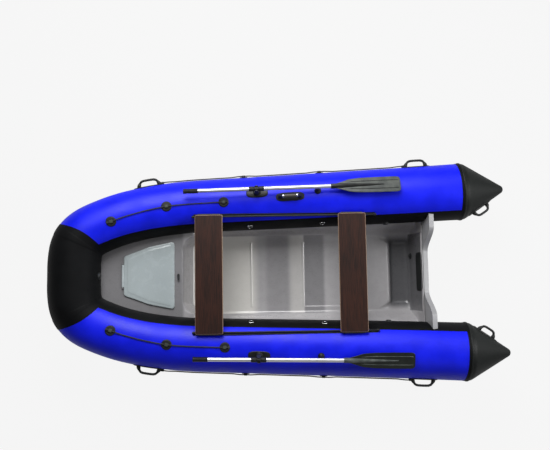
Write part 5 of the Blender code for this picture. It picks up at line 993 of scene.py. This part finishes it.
# Benches.
# Two boards of dark stained plywood with a clear coat. The grain runs across the boat, the rounded
# edges show the paler plies.
bench_wood, tone = finish("stained_plywood", "brown_plywood", Coat_Weight=0.10, Coat_Roughness=0.40)
x, _, z = tone.parts(tone.place())
facing = tone.parts(tone.node("NewGeometry", output="Normal"))[2]
flat_share = tone.math("ABSOLUTE", facing).step(0.70, 0.97)
figure = tone.cloud(0.045, 3.0, (1.0, 0.10, 1.0))
grain = tone.cloud(0.0032, 5.0, (1.0, 0.035, 1.0))
streak = (grain * 0.65 + figure * 0.35).step(0.36, 0.64)
stain = streak.blend(rgb(24, 9, 5), rgb(54, 26, 16))
plies = (z - x * RAIL_SLOPE).wave(0.0036).step(0.3, 0.7)
edge = plies.blend(rgb(132, 104, 84), rgb(186, 160, 134))
tone.drive(
    Base_Color=flat_share.blend(edge, stain),
    Roughness=grain * 0.18 + tone.cloud(0.08, 3.0) * 0.12 + 0.42,
    Specular_IOR_Level=0.25,
)
tone.relief(grain, 0.18, 0.0004)
for end in ("front", "rear"):
    eased(f"seat_board_{end}", f"bench_{end}", bench_wood, edge=0.0050, crease=35.0)


# Oarlocks and oar rests.
# A rubber base is glued on each side tube, and a plastic fork turns in its boss with a pin through
# the oar's shaft. The stowed shaft lies on a round rubber rest further aft.
OARLOCK_X = 0.155
OARLOCK_TURN = math.radians(15)
OARLOCK_PAD = (0.0825, 0.036, 3.2, 0.005, 0.003)
BOSS_LINE = (
    ((0.0, -0.003), (0.0290, -0.003), (0.0290, 0.0052), (0.0262, 0.0068), (0.0235, 0.0110))
    + ((0.0224, 0.0160), (0.0220, 0.0270), (0.0212, 0.0280), (0.0086, 0.0280))
    + ((0.0086, 0.0070), (0.0, 0.0070))
)


def cushioned(half_length, half_width, power, lift, sink, laid, count=25, rim=0.0, foot=0.45, roll=0.10):
    """A pad with a rolled edge: full height inside, down to a foot at its rim, with a raised border
    where a rim is given, and its underside sunk. The laid function puts its points in place. The
    tables named PAD below give its first five sizes."""
    along, across, larger = patch(half_length, half_width, power, count)
    height = lift * rolled(larger, foot, roll) + rim * np.exp(-(((larger - 0.80) / 0.07) ** 2))
    return slab(*(laid(np.stack([along, across, rise], -1)) for rise in (height, 0 * height - sink)))


def place_on(run, turn, side):
    """A place on a tube's skin: X forward along the tube, Z straight out of it."""
    back, origin, front = skin(run + np.array([-0.004, 0.0, 0.004]), turn, 0.0, side)
    out = Vector(skin(run, turn, 0.1, side) - origin).normalized()
    ahead = Vector(front - back)
    ahead = (ahead - ahead.dot(out) * out).normalized()
    return axes(ahead, out.cross(ahead), out, origin)


def laid_on(run, turn, side):
    """How a pad lies on a tube: forward along its run, outboard round it, and up off its skin."""
    size = float(np.linalg.norm(skin(run, 0.0) - line_point(run)))
    return lambda flat: skin(run + flat[..., 0], turn + flat[..., 1] / size, flat[..., 2], side)


for side, label in SIDES:
    laid = laid_on(run_at(OARLOCK_X), OARLOCK_TURN, side)
    base = cushioned(*OARLOCK_PAD, laid, count=41, rim=0.0008)
    boss = turned(BOSS_LINE, place_on(run_at(OARLOCK_X), OARLOCK_TURN, side), 48)
    piece(f"oarlock_seat_{label}", [base, boss], rubber, f"oarlock_base_{label}")
    eased(f"oarlock_swivel_{label}", f"fork_{label}", plastic, edge=0.0011, crease=35.0)
    eased(f"oar_rest_{label}", f"rest_{label}", rubber, edge=0.0016, crease=35.0)


# Oars.
# Each oar has a drawn aluminium shaft, a ribbed rubber grip, a rubber collar on either side of the
# fork and a moulded plastic blade with a spine and two ribs on each face.
FORK_PIN_HEIGHT = 0.078
OAR_PITCH = math.radians(1.9)
OAR_TOE = math.radians(1.3)
OAR_LENGTH = 1.620
GRIP_FOOT = ((0.0, -0.110), (0.0172, -0.110), (0.0192, -0.1085), (0.0195, -0.1065))
GRIP_END = ((0.0195, -0.0085), (0.0192, -0.0050), (0.0168, -0.0015), (0.0110, 0.0), (0.0, 0.0))
GRIP_RIB_PITCH = 0.0088
COLLARS = ((0.0185, 0.0560, 0.0190), (-0.0560, -0.0185, 0.0190), (-0.0190, 0.0190, 0.0157))
BLADE_LENGTH = 0.520
BLADE_HALF_WIDTH = 0.062
BLADE_OUTLINE = (
    ((0.0, 0.66), (0.006, 0.80), (0.02, 0.92), (0.06, 1.0), (0.30, 0.995))
    + ((0.55, 0.96), (0.66, 0.89), (0.74, 0.80), (0.84, 0.52), (0.93, 0.30))
)
SPINE_LINE = (
    ((0.0, -0.400), (0.0045, -0.399), (0.0060, -0.394), (0.0180, -0.090))
    + ((0.0186, -0.086), (0.0186, -0.003), (0.0180, 0.0), (0.0, 0.0))
)
RIB_ACROSS = 0.52
RIB_RADIUS = 0.0030


def oar_place(side):
    """A place at the fork's pin: X along the oar to its grip, Y along the pin."""
    base = place_on(run_at(OARLOCK_X), OARLOCK_TURN, side)
    out = base.col[2].xyz
    flat = math.cos(OAR_PITCH)
    ahead = Vector((flat * math.cos(OAR_TOE), -side * flat * math.sin(OAR_TOE), math.sin(OAR_PITCH)))
    across = out.cross(ahead).normalized()
    return axes(ahead, across, ahead.cross(across), base.translation + FORK_PIN_HEIGHT * out)


def blade_breadth(share):
    """Half the blade's width at shares of its length from its tip."""
    return np.interp(share, *np.array(BLADE_OUTLINE).T) * BLADE_HALF_WIDTH


def blade_plastic(name, dark, light):
    """Moulded blade plastic, dulled in broad patches where hands and water wear it."""
    return moulded(name, (rgb(*dark), rgb(*light)), 0.05, (0.35, 0.7), 0.22, 0.30, 0.4, 0.0012)


alloy, tone = finish("drawn_aluminium", "aluminium", Metallic=1.0)
drawn = tone.cloud(0.004, 3.0, (0.02, 1.0, 1.0))
tone.drive(
    Base_Color=drawn.blend(rgb(208, 210, 214), rgb(238, 239, 242)),
    Roughness=drawn * 0.10 + tone.cloud(0.05, 3.0) * 0.10 + 0.34,
)
tone.relief(drawn, 0.10, 0.0002)
# Lit and shaded copies of one blade plastic: the port blade is painted in shade, its spine and ribs with a
# painted highlight; the starboard blade is painted lit, its spine and ribs with painted shadow.
port_blade_painted_shade = blade_plastic("blade_plastic_painted_shade", (14, 19, 15), (24, 30, 24))
port_ribs_painted_highlight = blade_plastic("rib_plastic_painted_highlight", (62, 68, 66), (88, 94, 91))
starboard_blade_painted_light = blade_plastic("blade_plastic_painted_light", (54, 59, 57), (74, 78, 74))
starboard_ribs_painted_shadow = blade_plastic("rib_plastic_painted_shadow", (14, 16, 15), (24, 26, 24))

grip_runs = np.linspace(-0.102, -0.014, 89)
grip_ribs = 0.0178 + 0.0009 * np.cos(2 * math.pi * grip_runs / GRIP_RIB_PITCH)
grip = np.vstack([GRIP_FOOT, np.column_stack([grip_ribs, grip_runs]), GRIP_END])
along, share = np.meshgrid(np.linspace(0, 0.93, 110), np.linspace(-1, 1, 49), indexing="ij")
off_middle = np.abs(share)
rim = ramp(np.minimum(1 - off_middle, along * 5), 0, 0.06)
rib = np.exp(-(((off_middle - 0.50) / 0.040) ** 2)) * ramp(along, 0.80, 0.70) * ramp(along, 0.02, 0.07)
thick = 0.0014 + 0.0018 * rim**0.5 + 0.0010 * (1 - off_middle) + 0.0012 * rib
blade = np.stack([along * BLADE_LENGTH, share * blade_breadth(along), thick], -1)
stations = np.linspace(0.03, 0.78, 60)
rib_radii = RIB_RADIUS * np.minimum(1, (0.80 - stations) / 0.1)
lengthwise = Matrix.Rotation(math.pi / 2, 4, "Y")
oars = ((1, "port", 0.480, port_blade_painted_shade, port_ribs_painted_highlight), (-1, "starboard", 0.545, starboard_blade_painted_light, starboard_ribs_painted_shadow))
for side, label, reach, blade_paint, rib_paint in oars:
    eased(f"oar_shaft_{label}", f"shaft_{label}", alloy, edge=0.0)
    place = oar_place(side)
    down = place @ lengthwise
    tip = reach - OAR_LENGTH
    piece(f"grip_{label}", [turned(grip + (0, reach), down)], rubber, f"oar_grip_{label}")
    collars = []
    for near, far, wide in COLLARS:
        radii = (0.0, wide - 0.0008, wide, wide, wide - 0.0008, 0.0)
        line = np.column_stack([radii, (near, near, near + 0.0012, far - 0.0012, far, far)])
        collars.append(turned(line, down, 32))
    piece(f"collars_{label}", collars, rubber, body=f"oar_{label}")
    part = slab(put(blade + (tip, 0, 0), place), put(blade * (1, 1, -1) + (tip, 0, 0), place))
    piece(f"blade_{label}", [part], blade_paint, f"oar_blade_{label}")
    parts = [turned(np.array(SPINE_LINE) + (0, tip + BLADE_LENGTH), down)]
    for across in (-RIB_ACROSS, RIB_ACROSS):
        for height in (-RIB_RADIUS, RIB_RADIUS):
            breadth = across * blade_breadth(stations)
            line = np.stack([tip + stations * BLADE_LENGTH, breadth, np.full(60, height)], -1)
            parts.append(bar(put(line, place), rib_radii, 10))
    piece(f"blade_ribs_{label}", parts, rib_paint, body=f"oar_{label}")


# Grab handles.
# Moulded rubber handles: a stiff bar bent to a low bow stands on a long pad glued to the tube. The
# outboard ones have an eye at one end for the lifeline, and smaller ones sit on the stern cones.
HANDLE_SHARES = ((-1.12, -0.10), (-1.08, 0.18), (-0.98, 0.52), (-0.80, 0.86), (-0.55, 0.98), (0.0, 1.0))
HANDLE_HEIGHT = 0.048
HANDLE_HALF_SPAN = 0.072
HANDLE_PAD = (0.1075, 0.033, 3.4, 0.005, 0.003)
HANDLE_PLACES = (("front", 0.970, -1), ("rear", -1.080, 1))
HANDLE_EYE_REACH = 0.0925
SIDE_TURN = math.radians(80)
CARRY_X = -0.093
CARRY_TURN = math.radians(3)
CONE_TURN = math.radians(-75)
CONE_HANDLE_AFT = 0.150
CONE_HANDLE_HALF_SPAN = 0.058
CONE_HANDLE_PAD = (0.090, 0.033, 3.4, 0.005, 0.003)


def handle_bar(half_span, place):
    """The bar of a handle: thick at its feet, thinner between them, with finger waves beneath."""
    knots = [(share * half_span, 0, height * HANDLE_HEIGHT) for share, height in HANDLE_SHARES]
    knots += [(-x, y, z) for x, y, z in reversed(knots[:-1])]
    path = rounded(knots, 81, 4)
    thin = ease(path[:, 2] / HANDLE_HEIGHT, 0.25, 0.70)
    waves = 0.0004 * np.cos(2 * math.pi * path[:, 0] / 0.020) * (np.abs(path[:, 0]) < 0.6 * half_span)
    radius = 0.0150 - 0.0060 * thin + waves
    return bar(put(path, place), radius, 24, place.col[1].xyz)


def lug(run, turn, side, height=0.018):
    """A round-cornered block on a pad that a rope runs through."""
    laid = laid_on(run, turn, side)
    return cushioned(0.0150, 0.0120, 5.0, height, 0.002, laid, 17, foot=0.30, roll=0.22)


def cone_skin(flat, side):
    """How a pad lies on a cone: forward along its slope, round it, and up off its skin."""
    back = CONE_HANDLE_AFT - flat[..., 0]
    turn = CONE_TURN + flat[..., 1] / np.interp(CONE_HANDLE_AFT, cone_aft, cone_radius)
    rays = unit(skin(STERN_RUN, turn) - stern_centre)
    reach = np.interp(back, cone_aft, cone_radius) + flat[..., 2]
    return (stern_centre - stern_ahead * back[..., None] + rays * reach[..., None]) * (1, side, 1)


handles = []
for end, x, eye in HANDLE_PLACES:
    handles += [(f"side_handle_{end}_{label}", x, SIDE_TURN, side, eye) for side, label in SIDES]
handles.append(("carry_handle", CARRY_X, CARRY_TURN, -1, 0))
for node, x, turn, side, eye in handles:
    laid = laid_on(run_at(x), turn, side)
    parts = [cushioned(*HANDLE_PAD, laid, count=45, rim=0.0009)]
    parts.append(handle_bar(HANDLE_HALF_SPAN, place_on(run_at(x), turn, side)))
    if eye:
        parts.append(lug(run_at(x + eye * HANDLE_EYE_REACH), turn, side))
    piece(f"moulded_{node}", parts, rubber, node)

sleeve, tone = finish("grip_sleeve", "rubber", Specular_IOR_Level=0.4)
worn = tone.cloud(0.008, 3.0)
tone.drive(Base_Color=worn.blend(rgb(66, 62, 56), rgb(92, 88, 80)), Roughness=worn * 0.2 + 0.42)
carry_place = place_on(run_at(CARRY_X), CARRY_TURN, -1)
across_tube = carry_place.col[1].xyz
path = np.linspace((-0.040, 0, 0.0472), (0.040, 0, 0.0472), 81)
radius = 0.0118 - 0.0010 * (np.cos(2 * math.pi * path[:, 0] / 0.0100) < -0.4)
piece("carry_grip_sleeve", [bar(put(path, carry_place), radius, 28, across_tube)], sleeve)
parts = []
for near in (-0.056, 0.048):
    path = np.linspace((near, 0, 0.0462), (near + 0.008, 0, 0.0462), 5)
    parts.append(bar(put(path, carry_place), 0.0116, 28, across_tube))
piece("carry_grip_bands", parts, steel)

spoke = unit(skin(STERN_RUN, CONE_TURN) - stern_centre)
for side, label in SIDES:
    near, middle, far = cone_skin(np.array([(-0.01, 0, 0), (0, 0, 0), (0.01, 0, 0)]), side)
    ahead = Vector(far - near).normalized()
    out = Vector(spoke * (1, side, 1))
    out = (out - out.dot(ahead) * ahead).normalized()
    pad = cushioned(*CONE_HANDLE_PAD, lambda flat: cone_skin(flat, side), count=45, rim=0.0009)
    parts = [pad, handle_bar(CONE_HANDLE_HALF_SPAN, axes(ahead, out.cross(ahead), out, middle))]
    piece(f"moulded_cone_handle_{label}", parts, rubber, f"cone_handle_{label}")


# Rope holders.
# Round rubber patches with a square eye in the middle hold the lifelines: three on each side of the
# bow, and two smaller ones along each outer edge.
HOLDER_PLACES = ((1.280, -8, "front"), (0.858, -1, "middle"), (0.415, -1, "rear"))
EDGE_HOLDER_PLACES = ((0.262, "front"), (-0.330, "rear"))
HOLDER_PAD = (0.040, 0.038, 2.0, 0.005, 0.003)
EDGE_HOLDER_PAD = (0.030, 0.024, 2.4, 0.004, 0.003)
# The bow holders' eye lugs get a lighter rubber: a painted highlight on their raised tops.
eye_rubber_painted_highlight = pvc("eye_rubber_painted_highlight", "rubber", rgb(62, 68, 63), 0.40, 0.45)
for side, label in SIDES:
    eyes = []
    for x, turn, end in HOLDER_PLACES:
        laid = laid_on(run_at(x), math.radians(turn), side)
        disc = cushioned(*HOLDER_PAD, laid, count=33, rim=0.0010)
        eyes.append(lug(run_at(x), math.radians(turn), side))
        piece(f"moulded_rope_holder_{end}_{label}", [disc], rubber, f"rope_holder_{end}_{label}")
    piece(f"rope_eyes_{label}", eyes, eye_rubber_painted_highlight)
    for x, end in EDGE_HOLDER_PLACES:
        laid = laid_on(run_at(x), SIDE_TURN, side)
        parts = [cushioned(*EDGE_HOLDER_PAD, laid, rim=0.0008)]
        parts.append(lug(run_at(x), SIDE_TURN, side, 0.0175))
        piece(f"edge_rope_holder_{end}_{label}", parts, rubber)


# Lifelines.
# Three-strand polyester rope, laid right-handed: one length over each side of the bow through three
# holders, with a stopper knot at each end, and one along each outer edge between the two handles.
ROPE_RADIUS = 0.0046
ROPE_LAY = 0.026
LYING_HEIGHT = 0.0062
EYE_HALF_REACH = 0.030
SETTLED_REACH = 0.110
rope, tone = finish("black_rope", "rope", Roughness=0.82, Sheen_Weight=0.2)
fuzz = tone.cloud(0.0012, 2.0)
tone.drive(Base_Color=fuzz.step(0.3, 0.7).blend(rgb(20, 21, 22), rgb(50, 51, 53)))
tone.relief(fuzz, 0.5, 0.0005)


def lifeline(first, last, anchors, high, side):
    """A rope along a side tube from run to run: it lies low on the skin and rises smoothly to go
    straight through each eye. Its turn round the tube drifts evenly from eye to eye."""
    runs = np.arange(first, last, 0.0022)
    at, turns = np.array(anchors).T
    lying = ease(np.abs(runs[:, None] - at).min(1), EYE_HALF_REACH, SETTLED_REACH)
    return skin(runs, np.interp(runs, at, turns), high + (LYING_HEIGHT - high) * lying, side)


def knot(path, end):
    """A round stopper knot at a rope's end: three tight turns of the rope about its own line."""
    ahead = unit(path[end] - path[end - 4 if end else 4])
    side_on = unit(np.cross(ahead, (0, 0, 1)))
    above = np.cross(side_on, ahead)
    turn = np.linspace(0, 6 * math.pi, 70)[:, None]
    wide = 0.0050 * np.sin(turn / 6) ** 0.5 + 0.0012
    return path[end] + ahead * 0.0006 * (turn - 9) + wide * (np.cos(turn) * side_on + np.sin(turn) * above)


bow_eyes = sorted((run_at(x), math.radians(turn)) for x, turn, _ in HOLDER_PLACES)
edge_stations = [x + eye * HANDLE_EYE_REACH for _, x, eye in HANDLE_PLACES]
edge_stations += [x for x, _ in EDGE_HOLDER_PLACES]
edge_eyes = sorted((run_at(x), SIDE_TURN) for x in edge_stations)
for side, label in SIDES:
    for kind, eyes, tail, high in (("bow", bow_eyes, 0.030, 0.0105), ("side", edge_eyes, 0.0195, 0.0110)):
        path = lifeline(eyes[0][0] - tail, eyes[-1][0] + tail, eyes, high, side)
        parts = [bar(path, ROPE_RADIUS, 18, lobes=3, pitch=ROPE_LAY)]
        parts += [bar(knot(path, end), 0.0034, 10) for end in (0, -1) if kind == "bow"]
        piece(f"{kind}_rope_{label}", parts, rope, f"{kind}_lifeline_{label}")


# Valves, D-rings and bow eye.
# A screw-capped air valve sits low on the inboard side of each chamber. Steel D-rings hang from small
# cloth patches on the inboard sides, and a steel towing eye is bolted to the stem.
VALVE_X = -0.820
VALVE_TURN = math.radians(-84)
VALVE_LINE = (
    ((0.0, -0.003), (0.0270, -0.003), (0.0280, 0.0010), (0.0278, 0.0028), (0.0262, 0.0040))
    + ((0.0204, 0.0043), (0.0196, 0.0050), (0.0190, 0.0060), (0.0190, 0.0098), (0.0180, 0.0109))
    + ((0.0120, 0.0110), (0.0112, 0.0098), (0.0, 0.0098))
)
RING_STATIONS = (0.226, -0.329)
RING_TURN = math.radians(-62)
RING_PAD = (0.032, 0.022, 3.0, 0.0022, 0.002)
RING_KNOTS = (
    ((-0.017, -0.004), (0.017, -0.004), (0.017, 0.006), (0.010, 0.019), (0.0, 0.0225))
    + ((-0.010, 0.019), (-0.017, 0.006), (-0.017, -0.004))
)
valves = [(run_at(VALVE_X), side, label) for side, label in SIDES]
valves.append((float(LINE_RUN[-1]), 1, "bow"))
for run, side, label in valves:
    part = turned(VALVE_LINE, place_on(run, VALVE_TURN, side), 72, flutes=24, depth=0.0006)
    piece(f"air_valve_{label}", [part], plastic, f"valve_{label}")
eased("bow_eye", "towing_eye", steel, edge=0.0, crease=60.0)

ring_x, ring_drop = np.array(RING_KNOTS).T
for side, label in SIDES:
    cloth_parts, steel_parts = [], []
    knots = np.column_stack([ring_x, -side * ring_drop, 0.0052 + 0.0015 * (ring_drop > 0.01)])
    for run in map(run_at, RING_STATIONS):
        cloth_parts.append(cushioned(*RING_PAD, laid_on(run, RING_TURN, side)))
        steel_parts.append(bar(put(rounded(knots, 60, 2), place_on(run, RING_TURN, side)), 0.0022, 12))
    piece(f"ring_patches_{label}", cloth_parts, black_cloth)
    piece(f"d_rings_{label}", steel_parts, steel)


# Floor, lights and camera.
# The boat stands on a plain white floor under a large soft lamp on its starboard side. The camera
# looks straight down from above the port side.
floor_paint, tone = finish("studio_floor", "", Base_Color=rgb(120, 120, 120), Roughness=0.9)
seen = tone.node("LightPath", output="Is Camera Ray")
glossy = tone.node("LightPath", output="Is Glossy Ray")
white = tone.node("Emission", sockets={"Color": (1, 1, 1, 1), "Strength": 1.0})
floor_nodes = floor_paint.node_tree.nodes
lit = Tone(floor_paint.node_tree, floor_nodes["Principled BSDF"].outputs[0])
shown = tone.node("MixShader", sockets={0: seen * 0.90 + glossy * 0.45, 1: lit, 2: white})
tone.fill(floor_nodes["Material Output"].inputs[0], shown)
mesh = bpy.data.meshes.new("studio_floor")
corners = [(x, y, -0.001) for x, y in ((-40, -40), (40, -40), (40, 40), (-40, 40))]
mesh.from_pydata(corners, [], [(0, 1, 2, 3)])
mesh.materials.append(floor_paint)
floor = bpy.data.objects.new("studio_floor", mesh)
bpy.context.scene.collection.objects.link(floor)

world = bpy.data.worlds.new("studio")
world.use_nodes = True
backdrop = world.node_tree.nodes["Background"]
backdrop.inputs["Color"].default_value = (1, 1, 1, 1)
sky = Tone(world.node_tree)
in_sight = sky.node("LightPath", output="Is Camera Ray") + sky.node("LightPath", output="Is Transmission Ray")
sky.fill(backdrop.inputs["Strength"], in_sight * 0.82 + 0.18)
bpy.context.scene.world = world


def lamp(name, place, aim, size, power):
    """A soft square lamp at a place, facing its aim."""
    light = bpy.data.lights.new(name, "AREA")
    light.shape = "SQUARE"
    light.size = size
    light.energy = power
    made = bpy.data.objects.new(name, light)
    made.location = place
    made.rotation_mode = "QUATERNION"
    made.rotation_quaternion = (Vector(aim) - Vector(place)).to_track_quat("-Z", "Y")
    bpy.context.scene.collection.objects.link(made)


lamp("starboard_lamp", (0.4, -3.4, 3.8), (0, 0, 0.3), 3.0, 265)
lamp("port_lamp", (-1.0, 3.4, 3.4), (0, 0, 0.3), 2.0, 6)
lamp("stern_lamp", (-3.8, -0.4, 2.6), (0, 0, 0.3), 1.6, 80)

CAMERA_PLACE = Vector((-0.072, 0.105, 5.500))
CAMERA_AIM = Vector((0.029, -0.380, 0.378))
CAMERA_ROLL = math.radians(0.902)
lens = bpy.data.cameras.new("camera")
lens.sensor_width = 36.0
lens.lens = 43.11
lens.clip_end = 100
camera = bpy.data.objects.new("camera", lens)
bpy.context.scene.collection.objects.link(camera)
bpy.context.scene.camera = camera
ahead = (CAMERA_AIM - CAMERA_PLACE).normalized()
level = ahead.cross(Vector((0, -1, 0))).normalized()
right = level * math.cos(CAMERA_ROLL) + ahead.cross(level) * math.sin(CAMERA_ROLL)
camera.matrix_world = axes(right, right.cross(ahead), -ahead, CAMERA_PLACE)

bpy.context.scene.view_settings.view_transform = "Standard"
